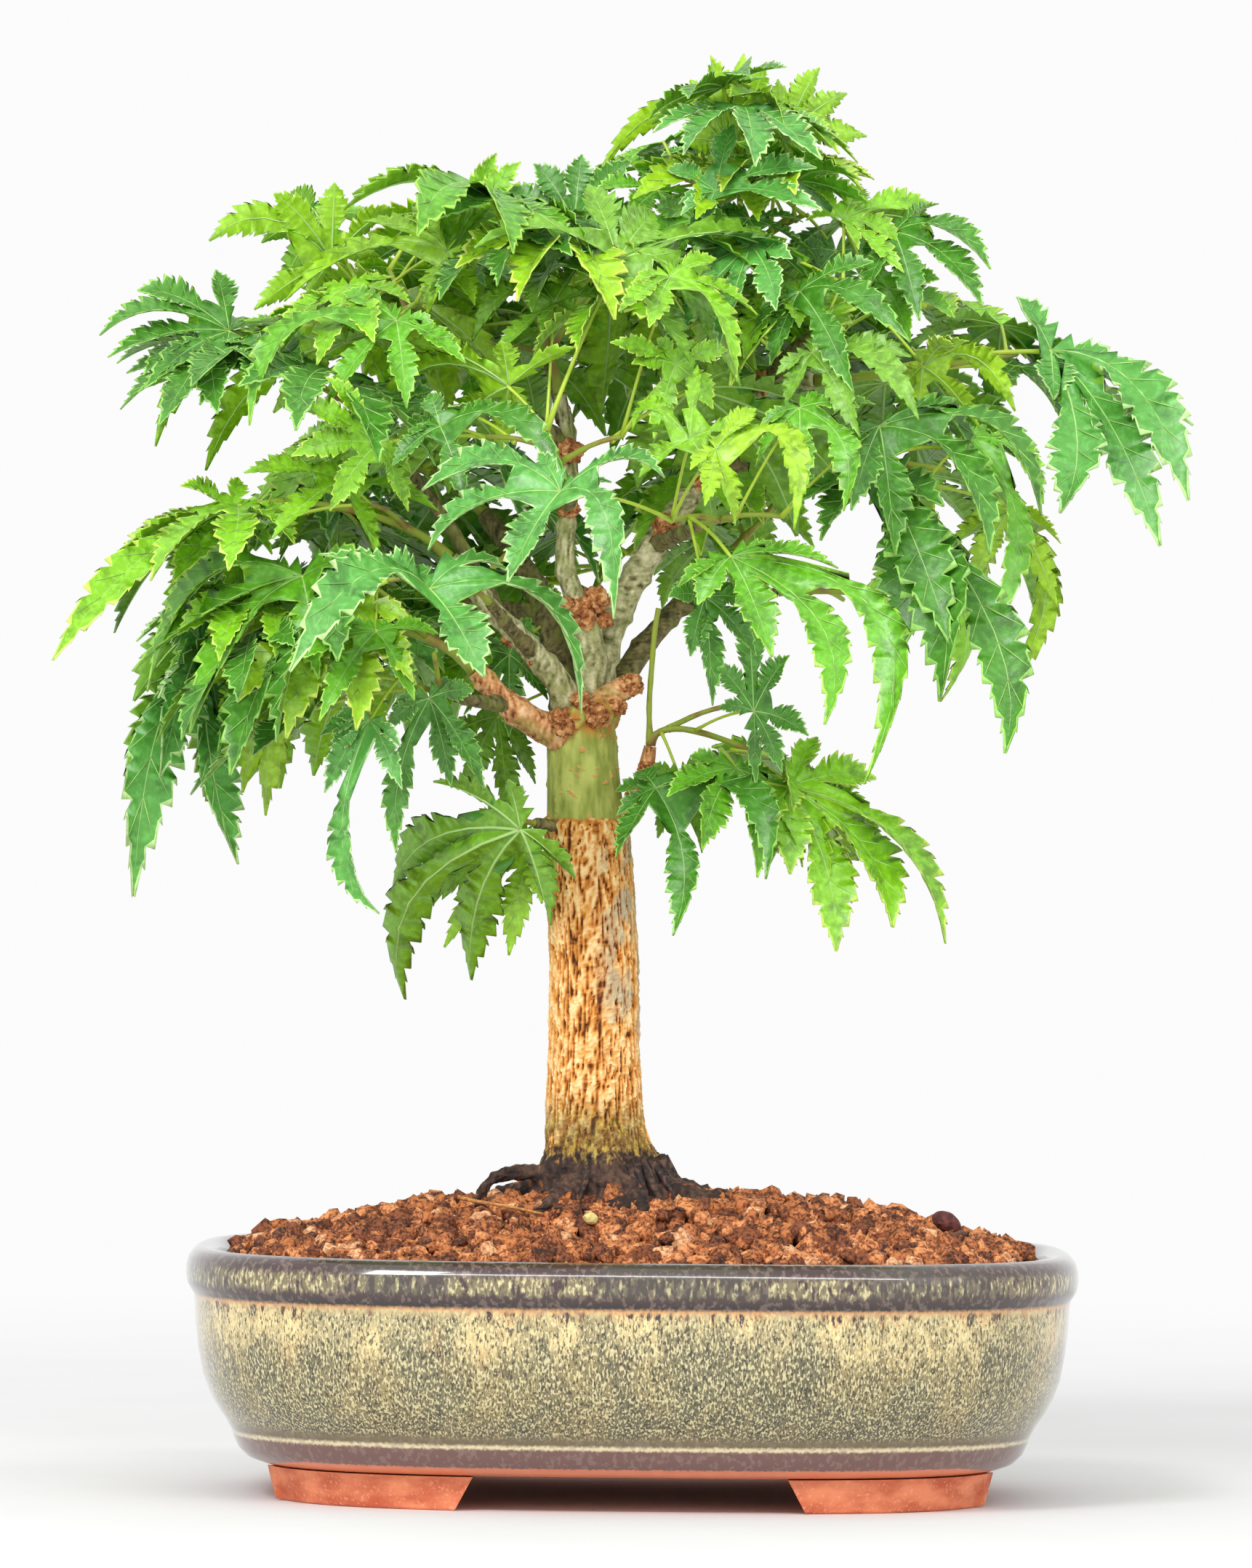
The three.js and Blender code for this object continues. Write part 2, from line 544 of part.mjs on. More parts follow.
// A leaf as a thin lens over its own outline, six faces on each side of a lobe, and with its
// stalk where that is asked for
function leafSolid({ lines, size, stalk }, grow, withStalk) {
  const points = [];
  const faces = [];
  const keep = (point) => points.push(point.clone()) - 1;
  const half = LEAF_THICKNESS / 2 + grow;
  const middle = lines[Math.floor(LOBES.length / 2)];
  const first = middle[0];
  const centre = [1, -1].map((way) => keep(first.at.clone().addScaledVector(first.up, way * half)));
  const notches = [];
  for (let i = 0; i <= lines.length; i++) {
    const left = lines[Math.max(i - 1, 0)];
    const right = lines[Math.min(i, lines.length - 1)];
    const between = left[LOBE_NOTCH].at.clone().add(right[LOBE_NOTCH].at).multiplyScalar(0.5);
    if (i === 0 || i === lines.length) {
      const { at, along, up } = left[1];
      const out = along.clone().cross(up).multiplyScalar(i === 0 ? -1 : 1);
      between.copy(at).addScaledVector(out, LOBE_LENGTH * size * LOBE_SHOULDER);
    }
    notches.push(keep(between.addScaledVector(between.clone().sub(first.at).normalize(), grow)));
  }
  const rings = withStalk ? stalk : [stalk.at(-1).clone().addScaledVector(first.along, -grow)];
  const heel = rings.map((at, i) => {
    const along = stalk.at(i ? -1 : 1).clone().sub(stalk[0]).normalize();
    const side = along.clone().cross(first.up).normalize();
    const up = side.clone().cross(along);
    return [-1, 0, 1].map((way) => {
      const turn = (way * 2 * Math.PI) / 3;
      const corner = at.clone().addScaledVector(side, STALK * Math.sin(turn));
      return keep(corner.addScaledVector(up, STALK * Math.cos(turn)));
    });
  });
  lines.forEach((line, i) => {
    const { at, along, up } = line[LOBE_WIDEST];
    const wide = LOBE_LENGTH * size * LOBES[i][1] * LOBE_HALF_WIDTH + grow;
    const side = along.clone().cross(up);
    const edge = (way) =>
      keep(at.clone().addScaledVector(side, way * wide).addScaledVector(up, wide * LOBE_FOLD));
    const spine = [1, -1].map((way) => keep(at.clone().addScaledVector(up, way * half)));
    const end = line[LOBE_STEPS];
    const tip = keep(end.at.clone().addScaledVector(end.along, grow));
    const outer = i === 0 || i === lines.length - 1;
    const sides = outer ? [tip] : [edge(-1), tip, edge(1)];
    const rim = [notches[i], ...sides, notches[i + 1]];
    for (const [layer, top] of [[0, true], [1, false]]) {
      const loop = [centre[layer], ...rim, centre[layer]];
      for (let k = 0; k < loop.length - 1; k++) {
        const face = [loop[k], spine[layer], loop[k + 1]];
        faces.push(...(top ? face : face.reverse()));
      }
    }
  });
  const [left, top, right] = heel.at(-1);
  const collar = [notches[0], left, top, right, notches.at(-1)];
  for (let k = 0; k < 4; k++) faces.push(centre[0], collar[k], collar[k + 1]);
  faces.push(centre[1], left, notches[0], centre[1], right, left, centre[1], notches.at(-1), right);
  for (let i = 1; i < heel.length; i++) {
    for (let k = 0; k < 3; k++) {
      const [a, b] = [heel[i - 1][k], heel[i - 1][(k + 1) % 3]];
      const [c, d] = [heel[i][k], heel[i][(k + 1) % 3]];
      faces.push(a, b, c, c, b, d);
    }
  }
  faces.push(heel[0][0], heel[0][2], heel[0][1]);
  const geometry = new THREE.BufferGeometry().setFromPoints(points);
  geometry.setIndex(faces);
  return solid(geometry);
}

// What has been placed so far, for new leaves to keep clear of
const placed = [];

function boxesMeet(a, b) {
  return [0, 1, 2].every((k) => a.min[k] <= b.max[k] && b.min[k] <= a.max[k]);
}

function isClear(body, except = []) {
  const box = body.boundingBox();
  return placed.every(
    (other) =>
      except.includes(other.name) ||
      !boxesMeet(box, other.box) ||
      body.intersect(other.body).isEmpty(),
  );
}

function place(name, body) {
  placed.push({ name, body, box: body.boundingBox() });
}

function inCrown(lines) {
  return lines.every((line) =>
    [LOBE_WIDEST, LOBE_STEPS].every((step) => {
      const { x, y, z } = line[step].at;
      const out = Math.abs(y) / CROWN_DEPTH;
      if (x < CROWN_TOP[0][0] || x > CROWN_TOP.at(-1)[0] || out > 1) return false;
      return z >= heightAt(CROWN_LOW, x) && z <= heightAt(CROWN_TOP, x) - CROWN_ROUND * out ** 3;
    }),
  );
}

// The stem and side shoots of a mass, and the tips where its leaves sit
function massTwigs(mass, start) {
  const roll = dice(mass.seed);
  const to = vec(mass.to);
  const way = to.clone().sub(start.at).normalize();
  const across = way.clone().cross(UP).normalize();
  const rise = across.clone().cross(way);
  const bend = start.at.clone().addScaledVector(start.way, start.at.distanceTo(to) * STEM_BEND);
  const curve = new THREE.QuadraticBezierCurve3(start.at, bend, to);
  const stem = STEM_STEPS.map((t) => curve.getPoint(t));
  const twigs = [{ points: stem, foot: mass.stem, tip: STEM_TIP }];
  const tips = [{ at: to, way, leaves: mass.ends ?? STEM_LEAVES }];
  for (let i = 0; i < mass.shoots; i++) {
    const lean = THREE.MathUtils.degToRad(roll(...SHOOT_LEAN));
    const sway = across.clone().multiplyScalar((i % 2 ? 1 : -1) * Math.cos(lean));
    sway.addScaledVector(rise, Math.sin(lean));
    const open = THREE.MathUtils.degToRad(roll(...SHOOT_ANGLE));
    const shoot = way.clone().multiplyScalar(Math.cos(open)).addScaledVector(sway, Math.sin(open));
    const from = stem[SHOOT_FROM + (i % 2)];
    const end = from.clone().addScaledVector(shoot, roll(...SHOOT_LENGTH));
    const middle = from.clone().lerp(end, 0.5).addScaledVector(UP, SHOOT_BOW);
    twigs.push({ points: [from, middle, end], foot: STEM_TIP * SHOOT_FOOT, tip: STEM_TIP });
    tips.push({ at: end, way: shoot, leaves: SHOOT_LEAVES });
  }
  return { twigs, tips };
}

// One leaf on its stalk: where the stalk ends, and how the leaf faces
function leafOn(mass, tip, number, attempt) {
  const roll = dice(mass.seed * 1000 + number * 20 + attempt);
  const heading = Math.atan2(tip.way.y, tip.way.x);
  const aside = [-1, 1, 0][tip.order % 3] * roll(...LEAF_ASIDE);
  const spread = aside + roll(...LEAF_SWAY) + attempt * roll(...LEAF_RETRY);
  const turn = heading + THREE.MathUtils.degToRad(spread);
  const climb = THREE.MathUtils.degToRad(mass.lift + roll(...STALK_RISE));
  const out = new THREE.Vector3(Math.cos(turn), Math.sin(turn), 0);
  const reach = out.clone().multiplyScalar(Math.cos(climb)).addScaledVector(UP, Math.sin(climb));
  const [near, far] = mass.stalk ?? STALK_LENGTH;
  const root = tip.at.clone().addScaledVector(tip.way, -LEAF_STEP * tip.order - FIRST_LEAF);
  const junction = root.clone().addScaledVector(reach, roll(near, far));
  const pitch = THREE.MathUtils.degToRad(mass.lift * BLADE_LIFT - roll(...BLADE_DIP));
  const tilt = THREE.MathUtils.degToRad(roll(...BLADE_TILT));
  const way = out.clone().multiplyScalar(Math.cos(pitch)).addScaledVector(UP, Math.sin(pitch));
  const level = new THREE.Vector3(-out.y, out.x, 0);
  const face = way.clone().cross(level).multiplyScalar(-1).normalize();
  face.multiplyScalar(Math.cos(tilt)).addScaledVector(level, Math.sin(tilt)).normalize();
  const size = roll(...(mass.sizes ?? LEAF_SIZES));
  const heel = junction.clone().addScaledVector(way, -LEAF_HEEL * size);
  const stalk = [root, heel];
  return { lines: leafLines(junction, way, face, size), stalk, size };
}

const wood = new THREE.MeshStandardMaterial({ color: 0xc79a63, roughness: 0.9, metalness: 0 });
const green = new THREE.MeshStandardMaterial({ color: 0x6fae55, roughness: 0.6, metalness: 0 });
const glaze = new THREE.MeshStandardMaterial({ color: 0x8d8466, roughness: 0.2, metalness: 0 });
const clay = new THREE.MeshStandardMaterial({ color: 0xc26a48, roughness: 0.8, metalness: 0 });
const earth = new THREE.MeshStandardMaterial({ color: 0x7a4526, roughness: 0.95, metalness: 0 });

// Pot

addNode(potGroup, "pot", potBody(), glaze);
addNode(potGroup, "soil", soil(), earth);
for (const [end, signX] of [["left", -1], ["right", 1]]) {
  for (const [side, signY] of [["front", -1], ["back", 1]]) {
    addNode(potGroup, "foot_" + side + "_" + end, foot(signX, signY), clay);
  }
}

// Trunk and limbs: each limb is cut clear of the ones before it

const grown = [["trunk", trunkTube(CLEARANCE)]];
const trunkBody = trunk();
place("trunk", trunkBody);
addNode(crownGroup, "trunk", geometryOf(trunkBody), wood);
const limbTips = {};
for (const limb of LIMBS) {
  const body = largest(grown.reduce((rest, [, carrier]) => rest.subtract(carrier), limbTube(limb, 0)));
  grown.push([limb.name, limbTube(limb, CLEARANCE)]);
  place(limb.name, body);
  addNode(crownGroup, limb.name, geometryOf(body), wood);
  const end = new THREE.CatmullRomCurve3(limb.way.map(vec)).getTangentAt(1);
  const at = vec(limb.way.at(-1)).addScaledVector(end, CLEARANCE);
  limbTips[limb.name] = { at, way: end, radius: limb.tip };
}

// Foliage masses: all the twigs first, then leaf by leaf

const masses = MASSES.map((row) => {
  const mass = { ...row, stem: limbTips[row.limb].radius * STEM_FOOT };
  const { twigs, tips } = massTwigs(mass, limbTips[row.limb]);
  const solids = twigs.map(({ points, foot, tip }) => {
    const radii = points.map((_, i) => THREE.MathUtils.lerp(foot, tip, i / (points.length - 1)));
    return solid(tube(points, radii, 3));
  });
  const body = solids.reduce((whole, twig) => whole.add(twig));
  place(row.name, body);
  return { mass, tips, body };
});

for (const entry of masses) {
  let number = 0;
  for (const tip of entry.tips) {
    for (let order = 0; order < tip.leaves; order++) {
      number += 1;
      for (let attempt = 0; attempt < TRIES; attempt++) {
        const leaf = leafOn(entry.mass, { ...tip, order }, number, attempt);
        if (!inCrown(leaf.lines)) continue;
        const blade = leafSolid(leaf, CLEARANCE, false);
        if (!isClear(blade)) continue;
        const stalk = solid(tube(leaf.stalk, [STALK, STALK], 3));
        if (!isClear(stalk, [entry.mass.name])) continue;
        entry.body = entry.body.add(leafSolid(leaf, 0, true));
        place(entry.mass.name + number, blade);
        place(entry.mass.name, stalk);
        break;
      }
    }
  }
  addNode(crownGroup, entry.mass.name, geometryOf(largest(entry.body).simplify(SLIVER)), green);
}

const bonsai = new THREE.Group();
bonsai.add(potGroup, crownGroup);

export default bonsai;
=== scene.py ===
# Potted japanese maple bonsai of the lion's head kind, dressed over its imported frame.
# The values below are millimetres; a piece is scaled to metres when it is finished.
import math

import bmesh
import bpy
import numpy as np
from mathutils import Matrix, Vector, noise
from mathutils.kdtree import KDTree


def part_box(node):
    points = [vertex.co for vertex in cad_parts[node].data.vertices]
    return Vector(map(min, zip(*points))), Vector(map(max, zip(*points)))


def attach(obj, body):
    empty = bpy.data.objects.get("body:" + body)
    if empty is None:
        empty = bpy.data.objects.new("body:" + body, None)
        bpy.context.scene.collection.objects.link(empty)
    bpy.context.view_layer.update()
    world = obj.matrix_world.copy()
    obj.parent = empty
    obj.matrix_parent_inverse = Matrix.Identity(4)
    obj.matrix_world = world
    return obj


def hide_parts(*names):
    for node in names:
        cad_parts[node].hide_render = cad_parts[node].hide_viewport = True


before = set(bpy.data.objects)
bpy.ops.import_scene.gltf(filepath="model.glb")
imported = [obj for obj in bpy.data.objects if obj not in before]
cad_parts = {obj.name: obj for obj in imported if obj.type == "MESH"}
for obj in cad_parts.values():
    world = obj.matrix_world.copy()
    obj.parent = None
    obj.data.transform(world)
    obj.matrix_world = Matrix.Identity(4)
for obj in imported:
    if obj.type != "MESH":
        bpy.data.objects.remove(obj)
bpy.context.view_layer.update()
metre = 1000
up = np.array([0.0, 0.0, 1.0])
noise.seed_set(19)  # the start of noise_vector, which would otherwise come from the clock


# Materials

class Wire:  # one value inside a material, so that shader sums are written as sums
    def __init__(self, tree, socket=None):
        self.tree = tree
        self.socket = socket

    def node(self, kind, settings=None, values=None, output=0):
        made = self.tree.nodes.new("ShaderNode" + kind)
        for name, value in (settings or {}).items():
            if name == "stops":
                stops = made.color_ramp.elements
                stops[0].position, stops[-1].position = value[0][0], value[-1][0]
                for place, _ in value[1:-1]:
                    stops.new(place)
                for stop, (_, colour) in zip(stops, value):
                    stop.color = colour
            else:
                setattr(made, name, value)
        for name, value in (values or {}).items():
            if isinstance(value, Wire):
                self.tree.links.new(value.socket, made.inputs[name])
            else:
                made.inputs[name].default_value = value
        return Wire(self.tree, made.outputs[output])

    def math(self, operation, first, second):
        return self.node("Math", {"operation": operation}, {0: first, 1: second})

    def __add__(self, other):
        return self.math("ADD", self, other)

    __radd__ = __add__

    def __sub__(self, other):
        return self.math("SUBTRACT", self, other)

    def __rsub__(self, other):
        return self.math("SUBTRACT", other, self)

    def __mul__(self, other):
        return self.math("MULTIPLY", self, other)

    __rmul__ = __mul__

    def step(self, low, high):  # 0 below low, 1 above high, smooth between
        return self.node("MapRange", {"interpolation_type": "SMOOTHSTEP"},
                         {"Value": self, "From Min": low, "From Max": high})

    def ramp(self, stops):  # colours at their places along 0 to 1
        return self.node("ValToRGB", {"stops": stops}, {0: self})

    def blend(self, colourA, colourB):  # colour A where this value is 0, colour B where it is 1
        return self.node("Mix", {"data_type": "RGBA"}, {0: self, 6: colourA, 7: colourB}, 2)

    def grain(self, size, stretch=(1, 1, 1), detail=2.0):  # noise with lumps of this size, 0 to 1
        placed = self.node("Mapping", {}, {"Vector": self, "Scale": stretch})
        return self.node("TexNoise", {}, {"Vector": placed, "Scale": metre / size, "Detail": detail})

    def axis(self, name):
        return self.node("SeparateXYZ", {}, {0: self}, name) * metre


def paint(red, green, blue):  # a screen colour, 0 to 255, as the shader's own
    parts = [value / 255 for value in (red, green, blue)]
    return [p / 12.92 if p <= 0.04045 else ((p + 0.055) / 1.055) ** 2.4 for p in parts] + [1.0]


def startFinish(name):
    material = bpy.data.materials.new(name)
    material.use_nodes = True
    return material, Wire(material.node_tree).node("TexCoord", output="Object")


def endFinish(material, colour, roughness, height=None, bump=0.3, depth=0.3, glow=None, **constants):
    surface = material.node_tree.nodes["Principled BSDF"]
    feeds = {"Base Color": colour, "Roughness": roughness}
    if glow is not None:
        feeds["Emission Color"] = glow
    if height is not None:
        relief = {"Strength": bump, "Distance": depth / metre, "Height": height}
        feeds["Normal"] = height.node("Bump", {}, relief)
    for name, value in feeds.items():
        if isinstance(value, Wire):
            material.node_tree.links.new(value.socket, surface.inputs[name])
        else:
            surface.inputs[name].default_value = value
    for name, value in constants.items():
        surface.inputs[name.replace("_", " ")].default_value = value
    return material


# Pieces

def finishPiece(name, bm, material, nodes=(), smooth=True):
    bmesh.ops.transform(bm, matrix=Matrix.Scale(1 / metre, 4), verts=bm.verts)
    mesh = bpy.data.meshes.new(name)
    bm.to_mesh(mesh)
    bm.free()
    return dressPiece(name, mesh, material, nodes, smooth)


def dressPiece(name, mesh, materials, nodes=(), smooth=True):
    for material in materials if isinstance(materials, list) else [materials]:
        mesh.materials.append(material)
    mesh.polygons.foreach_set("use_smooth", [smooth] * len(mesh.polygons))
    piece = bpy.data.objects.new(name, mesh)
    bpy.context.scene.collection.objects.link(piece)
    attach(piece, "root")
    if nodes:
        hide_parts(*nodes)
    return piece


def applyModifiers(piece):
    bpy.context.view_layer.update()
    finished = bpy.data.meshes.new_from_object(piece.evaluated_get(bpy.context.evaluated_depsgraph_get()))
    piece.modifiers.clear()
    piece.data = finished


class Dice:  # seeded numbers, the same on every machine
    def __init__(self, seed):
        self.state = seed * 7919 % 2147483647
        for _ in range(4):
            self.roll(0, 1)

    def roll(self, low, high):
        self.state = self.state * 16807 % 2147483647
        return low + (high - low) * self.state / 2147483647


def unit(vector):
    return vector / np.linalg.norm(vector)


def smooth(value, low, high):  # 0 below low, 1 above high
    share = min(1.0, max(0.0, (value - low) / (high - low)))
    return share * share * (3 - 2 * share)


# Tube of a few sides through points, its ends closed
def addTube(bm, points, radii, sides, ringShape=None, level=False):
    last = len(points) - 1
    verts = bmesh.ops.create_grid(bm, x_segments=sides, y_segments=last, size=1)["verts"]
    ways = [up if level else unit(points[min(i + 1, last)] - points[max(i - 1, 0)]) for i in range(last + 1)]
    seed = np.array([1.0, 0, 0]) if abs(ways[0][2]) > 0.9 else up
    across = [unit(seed - ways[0] * np.dot(seed, ways[0]))]
    for way in ways[1:]:
        across.append(unit(across[-1] - way * np.dot(across[-1], way)))
    for vert in verts:
        turn = (vert.co.x + 1) * math.pi
        ring = round((vert.co.y + 1) / 2 * last)
        side = np.cross(ways[ring], across[ring])
        radius = radii[ring] * (ringShape(turn, ring / last) if ringShape else 1)
        vert.co = points[ring] + (across[ring] * math.cos(turn) + side * math.sin(turn)) * radius
    bmesh.ops.remove_doubles(bm, verts=verts, dist=1e-4)
    verts = [vert for vert in verts if vert.is_valid]
    faces = {face for vert in verts for face in vert.link_faces}
    rims = {edge for face in faces for edge in face.edges if edge.is_boundary}
    faces.update(bmesh.ops.holes_fill(bm, edges=list(rims), sides=0)["faces"])
    bmesh.ops.recalc_face_normals(bm, faces=list(faces))
    return verts


# Pot

potShape = {  # outside and inside are half lengths and heights
    "planCorner": 3.0,  # exponent of the plan's superellipse
    "planInset": 25,  # the pot is this much less wide than long, on each side
    "planCore": 60,  # within this half length the plan shrinks evenly to its middle
    "around": 168,
    "outside": [(0, 8), (84, 8), (87.5, 8.4), (90.6, 9.6), (92.6, 11.6), (93.7, 14), (94.5, 16.2),
                (95.7, 18.4), (97.8, 21.4), (99.5, 24.6), (101.1, 29), (102.2, 35), (102.9, 41),
                (103.2, 46.2), (103.4, 47.8), (104.2, 48.9), (104.9, 50.3), (105.2, 52.2), (105.1, 54.4),
                (104.5, 56.4), (103.3, 57.8), (101.6, 58.5), (99.6, 58.4), (98.2, 57.6), (97.4, 56.2)],
    "inside": [(96.2, 53), (95, 46), (92, 26), (88, 18.5), (80, 15), (0, 15)],
}


def halfWidth(halfLength):
    core, inset = potShape["planCore"], potShape["planInset"]
    return halfLength - inset if halfLength > core else halfLength * (core - inset) / core


def planPoint(halfLength, turn):
    corner = potShape["planCorner"]
    out = (abs(math.cos(turn)) ** corner + abs(math.sin(turn)) ** corner) ** (-1 / corner)
    return halfLength * math.cos(turn) * out, halfWidth(halfLength) * math.sin(turn) * out


# A profile spun round the pot's middle and pressed from circles into its plan
def planSpin(profile, steps):
    bm = bmesh.new()
    line = [bm.verts.new((r, 0, z)) for r, z in profile]
    edges = [bm.edges.new(pair) for pair in zip(line, line[1:])]
    bmesh.ops.spin(bm, geom=line + edges, cent=(0, 0, 0), axis=(0, 0, 1), angle=2 * math.pi,
                   steps=steps, use_merge=True)
    bmesh.ops.remove_doubles(bm, verts=bm.verts, dist=1e-4)
    for vert in bm.verts:
        radius = math.hypot(vert.co.x, vert.co.y)
        if radius > 1e-4:
            vert.co.x, vert.co.y = planPoint(radius, math.atan2(vert.co.y, vert.co.x))
    bmesh.ops.recalc_face_normals(bm, faces=bm.faces)
    return bm


clayLook = {
    "clay": paint(236, 144, 102),
    "dark": paint(212, 114, 76),
    "deep": paint(196, 96, 62),
    "fleck": paint(238, 176, 140),
}
glazeLook = {
    "rim": paint(66, 46, 46),
    "mottle": paint(150, 128, 116),
    "rimPale": paint(132, 122, 86),
    # painted shade: a near-black band in the groove under the rim's lip, where shade falls
    "paintedGrooveShade": paint(34, 30, 34),
    "dusk": paint(72, 70, 50),
    "cream": paint(230, 206, 144),
    "amber": paint(222, 166, 108),
    "middle": paint(150, 134, 88),
    "slate": paint(86, 92, 76),
    "low": paint(108, 94, 66),
    "line": paint(226, 212, 170),
    "purple": paint(112, 78, 72),
    "speckDark": paint(44, 40, 28),
    "speckPale": paint(240, 226, 172),
    "foot": 10.4,  # height at which the glaze ends
    "top": 60,
    "bands": [(0, "purple"), (14.7, "purple"), (15.1, "line"), (15.5, "line"), (16.1, "low"), (25, "middle"),
              (36, "middle"), (40.5, "cream"), (46.4, "cream"), (47.4, "amber"), (48.2, "paintedGrooveShade"),
              (49.8, "rim")],  # heights, for the ramp from the ground to the top
    "bodyFrom": (16.5, 19),
    "bodyTo": (45, 48),
    "dripFrom": (26, 38),
    "dripTo": (46, 47.6),
    "rimFrom": (50, 52),
    "rimTo": (54, 56),
    "peel": 2.4,
}


def between(height, rise, fall):  # 1 between two heights, with soft ends
    return height.step(*rise) * (1 - height.step(*fall))


def glazeFinish():
    look = glazeLook
    material, coords = startFinish("drippedGlaze")
    height = coords.axis("Z")
    runs = coords.grain(1.5, (1, 1, 0.12), 3)
    fine = coords.grain(0.8, (1, 1, 0.5), 2)
    cloud = coords.grain(17, (1, 1, 0.6), 3)
    inDrip = between(height, look["dripFrom"], look["dripTo"])
    level = height + (runs - 0.5) * inDrip * 17 + (cloud - 0.5) * inDrip * 15 + (fine - 0.5) * 1.1
    # the ramp's band at 48.2 is painted shade in the groove under the lip
    bands = [(high / look["top"], look[tone]) for high, tone in look["bands"]]
    body = (level * (1 / look["top"])).ramp(bands)

    inBody = between(height, look["bodyFrom"], look["bodyTo"])
    greyed = (1 - cloud.step(0.4, 0.6)) * inBody * 0.6
    body = greyed.blend(body, look["slate"])
    tanned = coords.grain(11, (1, 1, 0.5), 2).step(0.56, 0.7) * height.step(30, 40) * inBody * 0.5
    body = tanned.blend(body, look["amber"])
    dusky = coords.grain(4.5, (1, 1, 0.5), 3).step(0.46, 0.66) * inBody * 0.5
    body = dusky.blend(body, look["dusk"])
    darkSpecks = coords.grain(0.48, (1, 1, 0.36), 3).step(0.5, 0.6) * inBody * 0.85
    paleSpecks = coords.grain(0.45, (1, 1, 0.4), 2).step(0.5, 0.62) * inBody * 0.7
    body = paleSpecks.blend(darkSpecks.blend(body, look["speckDark"]), look["speckPale"])
    mottling = coords.grain(1.3, (1, 1, 0.6), 3).step(0.5, 0.62) * (1 - inBody) * 0.4
    body = mottling.blend(body, look["mottle"])

    rimCloud = coords.grain(24, (1, 1, 0.3), 2).step(0.4, 0.62)
    rimBand = (height + (runs - 0.5) * 4).step(*look["rimFrom"])
    rimBand = rimBand * (1 - (height + (runs - 0.5) * 2).step(*look["rimTo"]))
    rimRuns = (coords.grain(1.1, (1, 1, 0.3), 2) + (1 - rimCloud) * 0.12).step(0.46, 0.62) * rimBand
    rimTone = fine.step(0.46, 0.66).blend(look["rimPale"], look["speckPale"])
    body = (rimRuns * 0.8).blend(body, rimTone)
    glazed = (rimCloud * height.step(49.5, 52) * 0.3).blend(body, look["slate"])

    clay = coords.grain(5, detail=4).blend(clayLook["dark"], clayLook["clay"])
    ends = coords.node("Math", {"operation": "ABSOLUTE"}, {0: coords.axis("X")}).step(74, 92)
    edge = height + ends * 2.4 + (fine - 0.5) * 0.8
    bare = 1 - edge.step(look["foot"] - 0.2, look["foot"] + 0.2)
    relief = coords.grain(look["peel"], detail=1) + bare * fine * 2
    return endFinish(material, bare.blend(glazed, clay), bare * 0.6 + cloud * 0.12 + 0.12, relief,
                     bump=0.12, depth=0.4, Coat_Weight=0.8, Coat_Roughness=0.04)


def clayFinish():
    material, coords = startFinish("bareClay")
    grit = coords.grain(0.8, detail=3)
    cloud = coords.grain(9, (1, 1, 2), 3)
    colour = cloud.step(0.3, 0.7).blend(clayLook["deep"], clayLook["clay"])
    pitted = (grit.step(0.56, 0.68) * 0.5).blend(colour, clayLook["fleck"])
    return endFinish(material, pitted, 0.62 + grit * 0.2, grit, bump=0.35, depth=0.25)


def makePot():
    shell = planSpin(potShape["outside"] + potShape["inside"], potShape["around"])
    finishPiece("pot_glazed", shell, glazeFinish(), ["pot"])


footShape = {
    "height": 7.7,
    "sunk": 0.3,  # its top stands this far inside the pot
    "outer": 87.4,
    "inner": 36.4,
    "innerSide": 27,
    "slant": 4.2,
    "clear": 2,  # the arc starts this far outside the slant of each end
    "taper": 2.2,
    "edge": 0.6,
    "curvePoints": 200,
    "arcPoints": 22,
}


# A corner plate of bare clay under the pot, between its two slanting inner ends
def makeFoot(end, side, signX, signY, material):
    bm = bmesh.new()
    inner, innerSide = footShape["inner"], footShape["innerSide"]
    clear = footShape["slant"] + footShape["clear"]
    count = footShape["curvePoints"]
    curve = [planPoint(footShape["outer"], i / count * math.pi / 2) for i in range(count + 1)]
    arc = [(x, y) for x, y in curve if x >= inner + clear and y >= innerSide + clear]
    arc = arc[::max(1, len(arc) // footShape["arcPoints"])]
    sideX = max(x for x, y in curve if y >= innerSide)
    endY = max(y for x, y in curve if x >= inner)
    outline = [(inner, innerSide), (sideX, innerSide), *arc, (inner, endY)]
    base = bm.faces.new([bm.verts.new((x, y, 0)) for x, y in outline])
    raised = bmesh.ops.extrude_face_region(bm, geom=[base])["geom"]
    top = [part for part in raised if isinstance(part, bmesh.types.BMVert)]
    bmesh.ops.translate(bm, verts=top, vec=(0, 0, footShape["height"] + footShape["sunk"]))
    for vert in bm.verts:
        low = 1 - min(vert.co.z, footShape["height"]) / footShape["height"]
        atEnd = vert.co.x < inner + 1
        atSide = vert.co.y < innerSide + 1
        vert.co.x += footShape["slant"] * low if atEnd else -footShape["taper"] * low
        vert.co.y += footShape["slant"] * low if atSide else -footShape["taper"] * low
    bmesh.ops.remove_doubles(bm, verts=bm.verts, dist=0.3)
    ground = [edge for edge in bm.edges if max(vert.co.z for vert in edge.verts) < 0.1]
    bmesh.ops.bevel(bm, geom=ground, offset=footShape["edge"], affect="EDGES", segments=2, profile=0.5,
                    material=-1)
    bmesh.ops.scale(bm, vec=(signX, signY, 1), verts=bm.verts)
    bmesh.ops.remove_doubles(bm, verts=bm.verts, dist=1e-3)
    bmesh.ops.recalc_face_normals(bm, faces=bm.faces)
    place = side + "_" + end
    finishPiece("foot_clay_" + place, bm, material, ["foot_" + place], smooth=False)


# Soil

